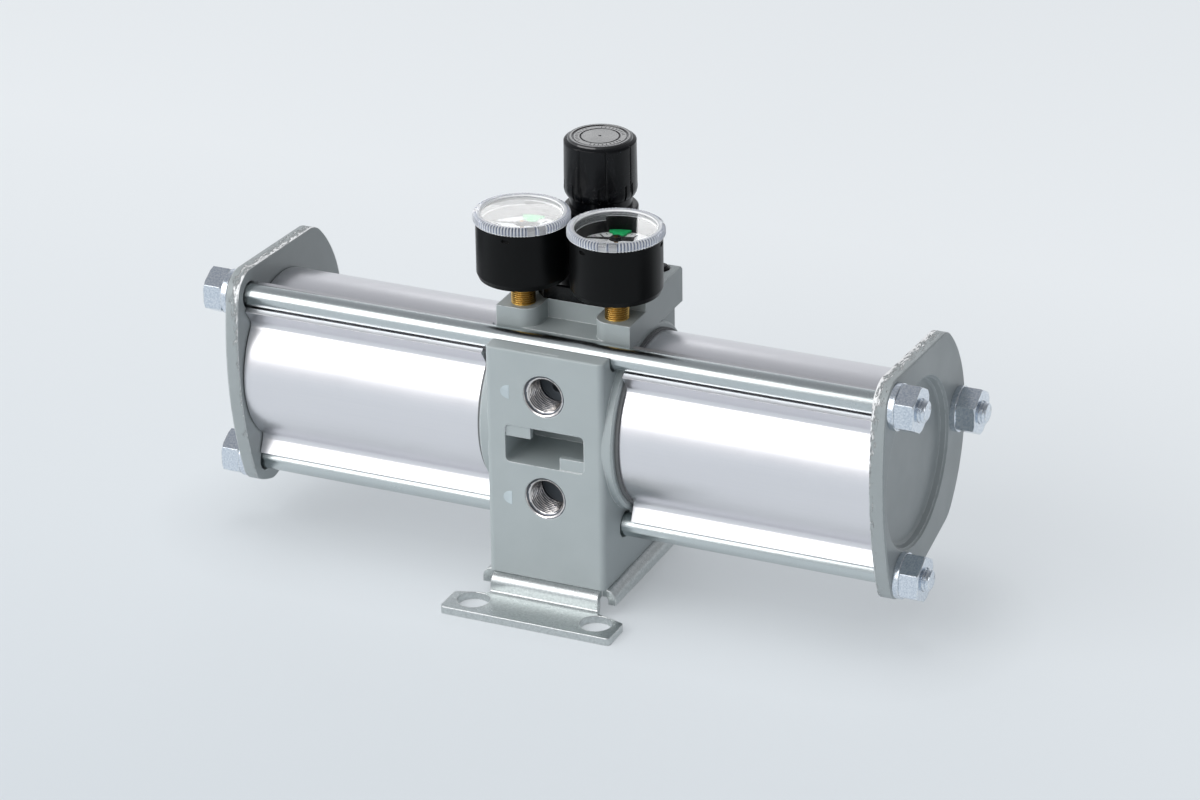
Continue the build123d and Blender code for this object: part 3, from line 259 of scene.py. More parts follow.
def fine_grain():
    # moulded or cast skin, with its edges rounded
    tree, given, result = new_group(
        "fine_grain", {"Scale": 900.0, "Depth": 0.00002, "Edge": 0.0004},
        {"Normal": VECTOR, "Mask": NUMBER})
    grains = noise(tree, given["Scale"], Detail=4.0, Roughness=0.6)
    edges = rounded(tree, given["Edge"])
    join(tree, relief(tree, grains, given["Depth"], edges), result["Normal"])
    join(tree, grains, result["Mask"])


def drawn_lines():
    # lines along X that an extrusion die, a drawing die or a polishing belt leaves
    tree, given, result = new_group(
        "drawn_lines", {"Scale": 1500.0, "Depth": 0.000004, "Edge": 0.0003},
        {"Normal": VECTOR, "Mask": NUMBER})
    lines = noise(tree, given["Scale"], place_on(tree, LENGTHWISE), Detail=3.0, Roughness=0.7)
    edges = rounded(tree, given["Edge"], 4)
    join(tree, relief(tree, lines, given["Depth"], edges), result["Normal"])
    join(tree, lines, result["Mask"])


def moulded_waves():
    # the faint waves on the face of moulded clear plastic
    tree, given, result = new_group(
        "moulded_waves", {"Scale": 500.0, "Depth": 0.000002}, {"Normal": VECTOR})
    waves = noise(tree, given["Scale"], Detail=3.0)
    join(tree, relief(tree, waves, given["Depth"]), result["Normal"])


fine_grain()
drawn_lines()
moulded_waves()
print("effects", sorted(GROUPS))

# %% Uneven surfaces: uneven gloss and a slow cloud


def uneven_gloss():
    # handled surfaces: roughness that wanders between two values
    tree, given, result = new_group(
        "uneven_gloss", {"Scale": 40.0, "Low": 0.3, "High": 0.4}, {"Value": NUMBER})
    wanders = noise(tree, given["Scale"], Detail=5.0, Roughness=0.65, Distortion=0.4)
    join(tree, spread(tree, wanders, 0.3, 0.7, given["Low"], given["High"]), result["Value"])


def slow_cloud():
    # a cloud from 0 to 1, for a colour that isn't quite even
    tree, given, result = new_group(
        "slow_cloud", {"Scale": 60.0, "Low": 0.35, "High": 0.65}, {"Mask": NUMBER})
    clouds = noise(tree, given["Scale"], Detail=4.0)
    join(tree, spread(tree, clouds, given["Low"], given["High"]), result["Mask"])


uneven_gloss()
slow_cloud()
print("effects", len(GROUPS))

# %% Worn edges and painted edge highlights
EDGE_STARTS, EDGE_FULL = 0.97, 0.84
PATCH_CRISPNESS = 14.0


def worn_edges():
    # broken patches along sharp edges, where a rounded normal leaves the true one: worn spots, and
    # painted highlights where the edges catch the light
    tree, given, result = new_group(
        "worn_edges", {"Width": 0.0006, "Scale": 350.0, "Amount": 0.5}, {"Mask": NUMBER})
    true_normal = add(tree, "ShaderNodeNewGeometry").outputs["True Normal"]
    agreement = vectors(tree, "DOT_PRODUCT", rounded(tree, given["Width"]), true_normal)
    edge = spread(tree, agreement, EDGE_STARTS, EDGE_FULL)
    speckle = noise(tree, given["Scale"], Detail=6.0, Roughness=0.7)
    patches = calculate(tree, "MULTIPLY", calculate(tree, "SUBTRACT", speckle, given["Amount"]),
                        PATCH_CRISPNESS, clamp=True)
    join(tree, calculate(tree, "MULTIPLY", edge, patches, clamp=True), result["Mask"])


worn_edges()
print("effects", len(GROUPS))

# %% Chipped rim of the end covers, with painted glints
RIM_FACING = 0.3
RIM_CRISPNESS = 12.0


def torn_rim():
    # chipped streaks along the rim of a plate across X, most near its top and its inner face; their
    # near white colour is chipped paint and painted glints
    tree, given, result = new_group(
        "torn_rim", {"Across": 900.0, "Along": 260.0, "Amount": 0.55}, {"Mask": NUMBER})
    facing = split(tree, add(tree, "ShaderNodeNewGeometry").outputs["True Normal"])
    rim = calculate(tree, "LESS_THAN", calculate(tree, "ABSOLUTE", facing["X"]), RIM_FACING)
    place = split(tree, place_on(tree))
    height = spread(tree, place["Z"], 0.085, 0.112, -0.05, 0.09)
    from_middle = calculate(tree, "ABSOLUTE", place["X"])
    inward = spread(tree, from_middle, 0.1345, 0.1404, 0.07, -0.2)
    stretched = combine(tree, **{
        axis: calculate(tree, "MULTIPLY", place[axis], given[label])
        for axis, label in (("X", "Across"), ("Y", "Along"), ("Z", "Along"))})
    streaks = noise(tree, 1.0, stretched, Detail=5.0, Roughness=0.75)
    strength = calculate(tree, "ADD", calculate(tree, "ADD", streaks, height), inward)
    torn_with_glints = calculate(tree, "MULTIPLY", calculate(tree, "SUBTRACT", strength, given["Amount"]),
                     RIM_CRISPNESS, clamp=True)
    join(tree, calculate(tree, "MULTIPLY", torn_with_glints, rim, clamp=True), result["Mask"])


torn_rim()
print("effects", len(GROUPS))

# %% Painted shade in the ports


def machined_bore():
    # painted shade in a bore along Y: near its axis, deeper than its countersink and no deeper than
    # its floor
    tree, given, result = new_group(
        "machined_bore", {"Height": 0.0908, "Radius": 0.0084, "Start": -0.0356, "End": -0.02},
        {"Mask": NUMBER})
    place = split(tree, place_on(tree))
    here = combine(tree, X=place["X"], Z=place["Z"])
    axis = combine(tree, Z=given["Height"])
    near = calculate(tree, "LESS_THAN", vectors(tree, "DISTANCE", here, axis), given["Radius"])
    deep = calculate(tree, "GREATER_THAN", place["Y"], given["Start"])
    short = calculate(tree, "LESS_THAN", place["Y"], given["End"])
    inside = calculate(tree, "MULTIPLY", deep, short)
    join(tree, calculate(tree, "MULTIPLY", near, inside), result["Mask"])


machined_bore()
print("effects", len(GROUPS))

# %% [markdown]
# ## Materials
# The booster is painted castings, anodised aluminium tube, zinc plated steel, brass, black plastic
# and clear plastic. One material with different colours would be quick, but then plating and paint
# would shine alike. So each gets its own gloss, grain and edges, from the shared effects.

# %% Start a material and set its shader


def new_material(name, color, **sockets):
    material = bpy.data.materials.new(name)
    material.use_nodes = True
    tree = material.node_tree
    shader = tree.nodes["Principled BSDF"]
    shader.inputs["Base Color"].default_value = (*color, 1)
    for label, value in sockets.items():
        shader.inputs[label.replace("_", " ")].default_value = value
    return material, tree, shader


def skin(tree, shader, effect, **inputs):
    outputs = use(tree, effect, **inputs)
    join(tree, outputs["Normal"], shader.inputs["Normal"])
    return outputs


def gloss(tree, shader, low, high, scale):
    value = use(tree, "uneven_gloss", Scale=scale, Low=low, High=high)["Value"]
    join(tree, value, shader.inputs["Roughness"])


def cloud(tree, scale):
    return use(tree, "slow_cloud", Scale=scale)["Mask"]


def tint(tree, shader, mask, first, second):
    join(tree, mix_colors(tree, mask, first, second), shader.inputs["Base Color"])


print("material helpers ready")

# %% [markdown]
# ## Paint
# The body and the end covers are aluminium castings under one coat of grey paint. It follows the
# cast grain, is worn through on sharp edges, and has come off in streaks along the rim of the
# covers. An even grey would look like clay, so a slow cloud shifts the colour, and masks let the
# metal through. The pale edges and rim streaks also carry painted highlights, the covers' darker
# grey is painted shade, and the bottom of the front ports is darkened as painted shade.

# %% Body and cover paint
# pale on sharp edges: chipped paint, and a painted highlight where the edges catch the light
CHIPPED_AND_LIT = (0.86, 0.89, 0.9)
# near white streaks on the covers' rims: chipped paint and painted glints
TORN_AND_GLINTS = (0.94, 0.95, 0.95)
TORN_DEPTH = 0.0004
# dark painted shade at the bottom of the front ports
BORE_SHADE = (0.12, 0.14, 0.16)
BORE_HEIGHTS = (0.0908, 0.047)


def paint(name, light, dark, torn_with_glints=None, bores=()):
    material, tree, shader = new_material(name, light)
    gloss(tree, shader, 0.3, 0.42, 60.0)
    normal = use(tree, "fine_grain", Scale=1400.0, Depth=0.000016, Edge=0.0007)["Normal"]
    color = mix_colors(tree, cloud(tree, 55.0), light, dark)
    # the edge colour is chipped paint and a painted highlight
    chips_and_highlights = use(tree, "worn_edges", Width=0.0006, Scale=300.0, Amount=0.4)["Mask"]
    color = mix_colors(tree, chips_and_highlights, color, CHIPPED_AND_LIT)
    # streaks along the covers' rims, pale as painted glints, with real dents
    if torn_with_glints:
        streaks = use(tree, "torn_rim", Amount=torn_with_glints)["Mask"]
        color = mix_colors(tree, streaks, color, TORN_AND_GLINTS)
        normal = relief(tree, streaks, TORN_DEPTH, normal, invert=True)
    # the bottom of each front port is darkened as painted shade
    for height in bores:
        shade_in_bore = use(tree, "machined_bore", Height=height)["Mask"]
        color = mix_colors(tree, shade_in_bore, color, BORE_SHADE)
    join(tree, normal, shader.inputs["Normal"])
    join(tree, color, shader.inputs["Base Color"])
    return material


BODY_PAINT = paint("body_paint", (0.42, 0.465, 0.47), (0.40, 0.445, 0.45), bores=BORE_HEIGHTS)
# the covers' grey is darker than the body's, as painted shade for faces that turn to the sides
SHADED_COVER_PAINT = paint("cover_paint", (0.36, 0.394, 0.4), (0.337, 0.37, 0.375), torn_with_glints=0.54)
print("paints", BODY_PAINT.name, SHADED_COVER_PAINT.name)

# %% [markdown]
# ## Metals
# The tubes are drawn and anodised, the rods, nuts and bracket are zinc plated, and the gauge stems
# are brass. All could be one metal with other colours. But drawing leaves lines, and plating
# leaves speckle and polished corners, so each finish has the effect that made it. The pale corners
# are also a painted highlight.

# %% Drawn tube, speckled rods and brass


def tube_material():
    light, dark = (0.79, 0.785, 0.81), (0.84, 0.83, 0.855)
    material, tree, shader = new_material("anodised_aluminium", light, Metallic=1.0)
    gloss(tree, shader, 0.28, 0.33, 30.0)
    lines = skin(tree, shader, "drawn_lines", Scale=2600.0, Depth=0.000006, Edge=0.0003)
    tint(tree, shader, lines["Mask"], light, dark)
    return material


def rod_material():
    dark, light = (0.46, 0.51, 0.52), (0.74, 0.78, 0.78)
    material, tree, shader = new_material("rod_zinc", light, Metallic=1.0)
    gloss(tree, shader, 0.2, 0.28, 60.0)
    speckle = skin(tree, shader, "fine_grain", Scale=2600.0, Depth=0.000022, Edge=0.0003)
    tint(tree, shader, speckle["Mask"], dark, light)
    return material


def brass_material():
    light, dark = (0.80, 0.53, 0.16), (0.74, 0.47, 0.13)
    material, tree, shader = new_material("brass", light, Metallic=1.0)
    gloss(tree, shader, 0.2, 0.26, 60.0)
    tint(tree, shader, cloud(tree, 60.0), light, dark)
    return material


TUBE = tube_material()
ROD = rod_material()
BRASS = brass_material()
print("metals", TUBE.name, ROD.name, BRASS.name)

# %% Plated, ground and bare metals
POLISHED_AND_LIT = (0.93, 0.94, 0.93)


def plated(name, light, dark, low, high, depth=0.00001, edge=0.0004, rubbed_and_lit=None,
           grain=700.0, clouds=140.0):
    material, tree, shader = new_material(name, light, Metallic=1.0)
    gloss(tree, shader, low, high, clouds)
    skin(tree, shader, "fine_grain", Scale=grain, Depth=depth, Edge=edge)
    color = mix_colors(tree, cloud(tree, clouds), light, dark)
    if rubbed_and_lit:
        # the plating is polished where sharp edges were handled, and these edges also get a painted
        # highlight
        bright = use(tree, "worn_edges", Width=0.0007, Scale=500.0, Amount=rubbed_and_lit)["Mask"]
        color = mix_colors(tree, bright, color, POLISHED_AND_LIT)
    join(tree, color, shader.inputs["Base Color"])
    return material


ZINC = plated("zinc_steel", (0.84, 0.88, 0.93), (0.58, 0.65, 0.74), 0.13, 0.25,
              depth=0.00006, edge=0.0005, rubbed_and_lit=0.42, grain=1800.0, clouds=1500.0)
BRACKET_ZINC = plated("bracket_zinc", (0.62, 0.65, 0.65), (0.5, 0.53, 0.53), 0.26, 0.34,
                      depth=0.00005, edge=0.0006, rubbed_and_lit=0.3, grain=2400.0, clouds=900.0)
BRASS_DARK = plated("brass_groove", (0.34, 0.19, 0.045), (0.28, 0.15, 0.035), 0.25, 0.35)
PORT_METAL = plated("port_metal", (0.84, 0.79, 0.75), (0.66, 0.65, 0.66), 0.16, 0.24)
# dark metal: painted shade in the port threads' grooves
PORT_GROOVE_SHADE = plated("port_groove_shaded", (0.16, 0.17, 0.19), (0.12, 0.13, 0.15), 0.3, 0.4)
MACHINED = plated("machined_aluminium", (0.86, 0.86, 0.87), (0.8, 0.8, 0.81), 0.2, 0.3)
STEEL = plated("ground_steel", (0.6, 0.6, 0.61), (0.54, 0.54, 0.55), 0.22, 0.34)
BRONZE = plated("bronze", (0.58, 0.4, 0.2), (0.5, 0.33, 0.16), 0.35, 0.5)
BLACK_STEEL = plated("black_steel", (0.05, 0.05, 0.053), (0.035, 0.035, 0.037), 0.35, 0.5)
print("plated metals", ZINC.name, BRACKET_ZINC.name)

# %% [markdown]
# ## Plastics, rubber and paper
# The knob, bonnet and gauge cases are black plastic with different gloss, and the dial is printed
# paper. They share one recipe with their own colour, grain and gloss. The gauge covers are clear.
# As plain glass they would shade the dial, so light on its way to a lamp passes straight through.

# %% Opaque plastics, rubber and paper
CLOUD_SHADE = 0.82


def plastic(name, color, low, high, scale, depth, **sockets):
    material, tree, shader = new_material(name, color, **sockets)
    gloss(tree, shader, low, high, 70.0)
    skin(tree, shader, "fine_grain", Scale=scale, Depth=depth, Edge=0.0004)
    tint(tree, shader, cloud(tree, 90.0), color, tuple(c * CLOUD_SHADE for c in color))
    return material


KNOB_BLACK = plastic("black_plastic", (0.0025, 0.003, 0.004), 0.2, 0.3, 1800.0, 0.000004,
                     Specular_IOR_Level=0.25)
KNOB_TOP = plastic("knob_top", (0.008, 0.0085, 0.009), 0.14, 0.2, 1500.0, 0.000004,
                   Specular_IOR_Level=0.7, Coat_Weight=0.55, Coat_Roughness=0.15)
CASE_BLACK = plastic("gauge_black", (0.003, 0.0033, 0.0036), 0.3, 0.38, 1600.0, 0.00001,
                     Specular_IOR_Level=0.15)
GASKET_GREY = plastic("gasket_grey", (0.17, 0.175, 0.18), 0.6, 0.75, 900.0, 0.00002)
POINTER_BLACK = plastic("pointer_black", (0.012, 0.012, 0.012), 0.4, 0.5, 1500.0, 0.000004)
GREEN = plastic("marker_green", (0.02, 0.55, 0.17), 0.35, 0.45, 1500.0, 0.000004)
DIAL_WHITE = plastic("dial_white", (0.93, 0.945, 0.96), 0.45, 0.55, 2000.0, 0.000002)
PRINT_BLACK = plastic("print_black", (0.015, 0.015, 0.017), 0.5, 0.6, 2000.0, 0.000002)
MARK_PALE = plastic("mark_pale", (0.56, 0.64, 0.67), 0.45, 0.55, 1200.0, 0.00001)
RUBBER = plastic("rubber", (0.02, 0.02, 0.021), 0.6, 0.8, 900.0, 0.00003)
print("plastics", KNOB_BLACK.name, CASE_BLACK.name)

# %% Clear plastic


def clear(name, color, transmission, roughness, waves=0.0, bending=1.49):
    material, tree, shader = new_material(
        name, color, Roughness=roughness, IOR=bending, Transmission_Weight=transmission)
    skin(tree, shader, "moulded_waves", Depth=waves)
    path = add(tree, "ShaderNodeLightPath")
    passing = add(tree, "ShaderNodeBsdfTransparent")
    either = add(tree, "ShaderNodeMixShader")
    join(tree, path.outputs["Is Shadow Ray"], either.inputs[0])
    join(tree, shader.outputs["BSDF"], either.inputs[1])
    join(tree, passing.outputs["BSDF"], either.inputs[2])
    join(tree, either.outputs["Shader"], tree.nodes["Material Output"].inputs["Surface"])
    return material


WINDOW = clear("window_clear", (1, 1, 1), 1.0, 0.0)
RING_CLEAR = clear("ring_clear", (0.95, 0.97, 1.0), 0.6, 0.04, waves=0.000004)
# darker clear plastic: painted shade in the knurls' valleys
RING_VALLEY_SHADE = clear("ring_valley_shaded", (0.3, 0.34, 0.44), 0.55, 0.08)
# white, nearly opaque plastic: painted highlight on the edges of the clear parts
RING_EDGE_HIGHLIGHT = clear("ring_edge_highlit", (1.0, 1.0, 1.0), 0.12, 0.15)
SKIRT = clear("skirt_clear", (0.84, 0.87, 0.9), 0.9, 0.0, bending=1.02)
print("clear plastics", WINDOW.name, RING_CLEAR.name, SKIRT.name)

# %% [markdown]
# ## Dress the CAD pieces
# Most solids already have the right shape, so they keep it. Each only gets its material, found by
# its slot in the record, and not picked by hand, so no piece can be forgotten.

# %% Give every CAD node its material
BY_SLOT = {
    "body_paint": BODY_PAINT, "cover_paint": SHADED_COVER_PAINT, "anodised_aluminium": TUBE,
    "machined_aluminium": MACHINED, "zinc_steel": ZINC, "bracket_zinc": BRACKET_ZINC,
    "ground_steel": STEEL, "spring_steel": STEEL, "black_steel": BLACK_STEEL, "bronze": BRONZE,
    "brass": BRASS, "rubber": RUBBER, "gasket_grey": GASKET_GREY, "black_plastic": KNOB_BLACK,
    "gauge_black": CASE_BLACK, "dial_white": DIAL_WHITE, "pointer_black": POINTER_BLACK,
    "marker_green": GREEN, "clear_plastic": WINDOW,
}


def dress(record):
    for part in record["subparts"]:
        for slot in NODES[part["node"]].material_slots:
            slot.material = BY_SLOT[part["material_slot"]]
    return len(record["subparts"])


print("dressed", dress(frame["record"]), "nodes")

# %% [markdown]
# ## Turned pieces
# Rods, threads, knurled rings and the knob are all round, so one helper turns a profile about an
# axis. A second function may change the radius with height and angle. That cuts a thread, a knurl
# or a row of grip panels as true geometry, which also holds in a close view, where a bump would
# not. Shapes are written in millimetres, as on a drawing.

# %% Make a piece from points and faces


def metres(*millimetres):
    return tuple(value / 1000 for value in millimetres)


def solid(name, points, faces, materials, pick=None, sharp=32):
    # pick(centre of a face) gives the number of its material
    mesh = bpy.data.meshes.new(name)
    mesh.from_pydata(points, [], faces)
    mesh.validate()
    for material in materials:
        mesh.materials.append(material)
    if pick:
        for face in mesh.polygons:
            face.material_index = pick(face.center)
    mesh.shade_smooth()
    mesh.set_sharp_from_angle(angle=radians(sharp))
    piece = bpy.data.objects.new(name, mesh)
    bpy.context.scene.collection.objects.link(piece)
    return piece


print("mesh helper ready")

# %% Turn a profile about an axis, and cut a thread in it


def finely(profile, step):
    # adds points along each line of a profile, so that what is cut into it has enough faces
    points = [profile[0]]
    for (r0, h0), (r1, h1) in zip(profile, profile[1:]):
        count = max(1, round(hypot(r1 - r0, h1 - h0) / step))
        points += [(r0 + (r1 - r0) * i / count, h0 + (h1 - h0) * i / count)
                   for i in range(1, count + 1)]
    return points


def turned(name, profile, place, axis, segments, cut, materials, pick=None, sharp=32):
    # profile points are (radius, height), and cut(radius, height, angle) gives the new radius
    points, faces = [], []
    for radius, height in profile:
        for i in range(segments):
            angle = 2 * pi * i / segments
            r = cut(radius, height, angle) if cut else radius
            a, b = r * cos(angle), r * sin(angle)
            offset = {"Z": (a, b, height), "X": (height, a, b), "Y": (a, height, b)}[axis]
            points.append(metres(*(p + o for p, o in zip(place, offset))))
    for row in range(len(profile) - 1):
        low, high = row * segments, (row + 1) * segments
        for i in range(segments):
            j = (i + 1) % segments
            faces.append((low + i, low + j, high + j, high + i))
    if axis == "Y":
        faces = [tuple(reversed(face)) for face in faces]
    return solid(name, points, faces, materials, pick, sharp)


def thread(depth, pitch, start, end):
    # a helical groove between two heights that fades in at both ends
    def cut(radius, height, angle):
        if not start <= height <= end:
            return radius
        turn = height / pitch - angle / (2 * pi)
        fade = min(1, (height - start) / (0.6 * pitch), (end - height) / (0.6 * pitch))
        return radius - depth * fade * (0.5 - 0.5 * cos(2 * pi * turn))
    return cut


print("turning helpers ready")

# %% [markdown]
# ## Tie rods
# Three steel rods clamp the end covers, and their threaded tips stand out of the nuts. A smooth
# rod with a striped bump would show a straight outline at its tip, so the thread is cut into the
# rod.

# %% Tie rods with threaded tips
RODS = ("tie_rod_front_top", "tie_rod_front_bottom", "tie_rod_back")
ROD_PLAIN_TO = 135.0
ROD_CHAMFER = 0.9
ROD_GROOVE, ROD_PITCH = 0.7, 1.5


def threaded_rod(node):
    low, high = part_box(node)
    tip = high.x * 1000
    middle = [(low.y + high.y) * 500, (low.z + high.z) * 500]
    radius = (high.y - low.y) * 500
    ends = finely([(radius, ROD_PLAIN_TO), (radius, tip - ROD_CHAMFER),
                   (radius - ROD_CHAMFER, tip)], 0.25)
    ends += [(0.01, tip)]
    profile = [(r, -h) for r, h in reversed(ends)] + ends
    groove = thread(ROD_GROOVE, ROD_PITCH, ROD_PLAIN_TO, tip + 0.6)

    def cut(r, h, angle):
        return groove(r, abs(h), angle if h > 0 else -angle) if r > 1 else r

    piece = turned(node + "_threaded", profile, (0, *middle), "X", 40, cut, [ROD, ZINC],
                   lambda c: 1 if abs(c.x) > ROD_PLAIN_TO / 1000 else 0)
    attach(piece, "booster")
    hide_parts(node)
    return piece


for node in RODS:
    threaded_rod(node)
print("tie rods", len(RODS))

# %% [markdown]
# ## Ports
# The air goes in and out through three tapped holes. Cutting threads into the body's mesh would
# mean changing a CAD solid. Instead a thin liner of bare metal lies just inside each bore and
# carries the thread, with painted shade in its grooves.

# %% Threads in the ports
PORT_RADIUS = 7.455
PORT_GROOVE, PORT_PITCH = 0.6, 1.337
DARK_BELOW = 0.26
PORTS = {
    # height, face, way inwards, depth, width of the countersink
    "inlet": (90.8, -36.8, 1, 13.9, 1.35),
    "outlet": (47.0, -36.8, 1, 13.9, 1.35),
    "exhaust": (56.0, 36.0, -1, 9.9, 0.1),
}


def port_thread(name, z, face, way, depth, sink):
    outline = [(PORT_RADIUS + sink, 0.02), (PORT_RADIUS, sink), (PORT_RADIUS, depth)]
    placed = [(r, face + way * h) for r, h in finely(outline, 0.16)]
    groove = thread(PORT_GROOVE, PORT_PITCH, -0.5, depth - 0.6)

    # the thread's roots, near the bore's wall, get the dark metal as painted shade
    def pick(center):
        radius = hypot(center.x, center.z - z / 1000) * 1000
        bore = PORT_RADIUS + max(0, sink - abs(center.y * 1000 - face))
        return 1 if radius > bore - DARK_BELOW else 0

    liner = turned(f"{name}_port_thread", placed, (0, 0, z), "Y", 96,
                   lambda r, y, a: groove(r, abs(y - face), a), [PORT_METAL, PORT_GROOVE_SHADE], pick, 60)
    if way > 0:
        liner.data.flip_normals()
    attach(liner, "booster")
    return liner


for name, sizes in PORTS.items():
    port_thread(name, *sizes)
print("port threads", len(PORTS))

# %% [markdown]
# ## Marks on the body
# Beside each front port sits a small pale half disc, and a low bar is cast on the ledge above.
# Both could be painted on with a mask, but they stand proud on the real body and catch the light,
# so they are thin solids.

# %% Half discs and ledge bar
HALF_DISC_RADIUS = 2.9
HALF_DISC_BULGE = 1.3
FRONT_FACE, PROUD, SUNK = -36.8, 0.06, 0.01
HALF_DISCS = {"upper_half_disc": (90.4, -14.7), "lower_half_disc": (44.8, -14.3)}


def half_disc(name, z, flat):
    # its flat side is towards the port
    outline = []
    for i in range(25):
        turn = pi * i / 24
        outline.append((flat - HALF_DISC_RADIUS * HALF_DISC_BULGE * sin(turn),
                        z + HALF_DISC_RADIUS * cos(turn)))
    points = [metres(x, FRONT_FACE - PROUD, h) for x, h in outline]
    points += [metres(x, FRONT_FACE + SUNK, h) for x, h in outline]
    count = len(outline)
    faces = [tuple(range(count))]
    faces += [(i, i + count, (i + 1) % count + count, (i + 1) % count) for i in range(count)]
    piece = solid(name, points, faces, [MARK_PALE])
    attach(piece, "booster")
    return piece


def ledge_bar():
    x0, x1, y0, y1, z0, z1 = -8.0, 6.0, -35.2, -34.4, 108.45, 108.62
    outline = ((x0, y0), (x1, y0), (x1, y1), (x0, y1))
    points = [metres(x, y, z) for z in (z0, z1) for x, y in outline]
    faces = [(4, 5, 6, 7), (0, 1, 5, 4), (1, 2, 6, 5), (2, 3, 7, 6), (3, 0, 4, 7)]
    piece = solid("ledge_bar", points, faces, [BODY_PAINT])
    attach(piece, "booster")
    return piece


ledge_bar()
for name, (z, flat) in HALF_DISCS.items():
    half_disc(name, z, flat)
print("half discs", len(HALF_DISCS))

# %% [markdown]
# ## Gauge stems
# Each gauge stands on a brass stem whose pipe thread shows between case and body. The stem is
# turned in one piece up to the pointer's spindle, with the groove bottoms in a darker brass, as
# oil and shade make them.

# %% Gauge stems
GAUGE_X = {"left": -20.0, "right": 20.0}
GAUGE_Y = -10.5
STEM_GROOVE, STEM_PITCH = 0.45, 0.907


def stem_profile():
    profile = [(0.01, 109.4), (4.25, 109.4), (4.25, 117.42)]
    profile += finely([(4.86, 117.42), (4.86, 128.2)], 0.1)
    return profile + [(4.86, 133.6), (3.0, 133.6), (3.0, 144.5), (0.8, 144.5), (0.8, 150.55),
                      (0.01, 150.55)]


def from_gauge_axis(side, center):
    return center.x * 1000 - GAUGE_X[side], center.y * 1000 - GAUGE_Y


def gauge_stem(side):
    groove = thread(STEM_GROOVE, STEM_PITCH, 117.5, 128.6)
    piece = turned(f"gauge_{side}_threaded_stem", stem_profile(), (GAUGE_X[side], GAUGE_Y, 0), "Z",
                   72, lambda r, h, a: groove(r, h, a) if r > 4.5 else r, [BRASS, BRASS_DARK],
                   lambda c: 1 if hypot(*from_gauge_axis(side, c)) < 4.6 else 0, 60)
    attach(piece, "booster")
    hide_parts(f"gauge_{side}_stem")
    return piece


for side in GAUGE_X:
    gauge_stem(side)
print("gauge stems", len(GAUGE_X))

# %% [markdown]
# ## Clear gauge covers
# A cover is a flat window in a knurled ring that is turned by hand to unlock it. Clear plastic
# shows its own form by bending what lies behind, so a smooth ring with a striped texture would
# look painted. The knurls are cut, their valleys get a darker clear plastic as painted shade, the
# edges a white plastic as painted highlight, and a skirt hangs inside.

# %% Knurled ring with its window
KNURLS = 90
KNURLS_FROM = 17.9
PATCH_HALF, PATCH_EDGE = 5.5, 0.8
SMOOTH_PATCHES = {"left": (67, 80, 187, 200, 306, 320), "right": (35, 155, 168, 277, 290)}


def cap_profile():
    # from the middle of the window's top, over the ring, and back under the window
    return [
        (0.01, 155.15), (16.1, 155.15), (16.45, 155.6), (16.7, 155.8), (17.7, 155.8),
        (18.0, 155.78), (18.5, 155.66), (18.9, 155.4), (19.15, 154.9), (19.18, 154.2),
        (19.18, 153.3), (19.15, 152.7), (18.95, 152.46), (17.58, 152.46), (17.56, 153.92),
        (16.2, 153.95), (0.01, 153.95),
    ]


def from_patch(side, angle):
    return min(abs(angle * 180 / pi - patch) for patch in SMOOTH_PATCHES[side])


def knurl(side, radius, angle):
    if radius < KNURLS_FROM:
        return radius
    away = from_patch(side, angle)
    if away < PATCH_HALF:
        return radius - (0.12 if away < PATCH_HALF - PATCH_EDGE else 0.45)
    strength = 0.75 if radius > 18.3 else 0.45
    return radius - strength * (0.5 + 0.5 * cos(KNURLS * angle)) ** 1.5


def cap_material(side, center):
    # 0 is window, 1 ring, 2 painted shade in the valleys between knurls and 3 painted highlight on
    # the edges
    x, y = from_gauge_axis(side, center)
    radius, angle, z = hypot(x, y), atan2(y, x) % (2 * pi), center.z * 1000
    if radius < 16.1:
        return 0
    if radius < 16.5 and z > 155.2 or radius > 18 and z < 152.8:
        return 3
    if radius < 17.6 or radius < 17.85 and z < 155:
        return 1
    if from_patch(side, angle) < PATCH_HALF - PATCH_EDGE:
        return 0
    return 2 if cos(KNURLS * angle) > 0.2 else 1


print("cover helpers ready")

# %% Covers with their inner skirts
SKIRT_INNER, SKIRT_OUTER, SKIRT_TOP = 15.8, 16.2, 153.9
SKIRT_SHALLOW, SKIRT_DEEP = 152.6, 150.9
DEEP_BETWEEN = {"left": (110, 300), "right": (128, 310)}
SKIRT_STEPS = 180


def skirt_material(center):
    # the lower edge gets a painted highlight
    z = center.z * 1000
    return 1 if min(abs(z - SKIRT_SHALLOW), abs(z - SKIRT_DEEP)) < 0.05 else 0


def inner_skirt(side):
    # its lower edge has a step at both ends of the deep part
    start, end = DEEP_BETWEEN[side]
    lows = [SKIRT_DEEP if start <= i * 360 / SKIRT_STEPS < end else SKIRT_SHALLOW
            for i in range(SKIRT_STEPS)]
    points, faces = [], []

    def corner(i, radius, height):
        angle = 2 * pi * i / SKIRT_STEPS
        x, y = GAUGE_X[side] + radius * cos(angle), GAUGE_Y + radius * sin(angle)
        points.append(metres(x, y, height))
        return len(points) - 1

    for i, low in enumerate(lows):
        outline = ((SKIRT_INNER, SKIRT_TOP), (SKIRT_INNER, low),
                   (SKIRT_OUTER, low), (SKIRT_OUTER, SKIRT_TOP))
        ring = [corner(k, r, h) for k in (i, i + 1) for r, h in outline]
        faces += [(ring[k], ring[k + 1], ring[k + 5], ring[k + 4]) for k in range(3)]
        before = lows[i - 1]
        if before != low:
            faces.append((corner(i, SKIRT_INNER, low), corner(i, SKIRT_OUTER, low),
                          corner(i, SKIRT_OUTER, before), corner(i, SKIRT_INNER, before)))
    return solid(f"gauge_{side}_cap_skirt", points, faces, [SKIRT, RING_EDGE_HIGHLIGHT], skirt_material)


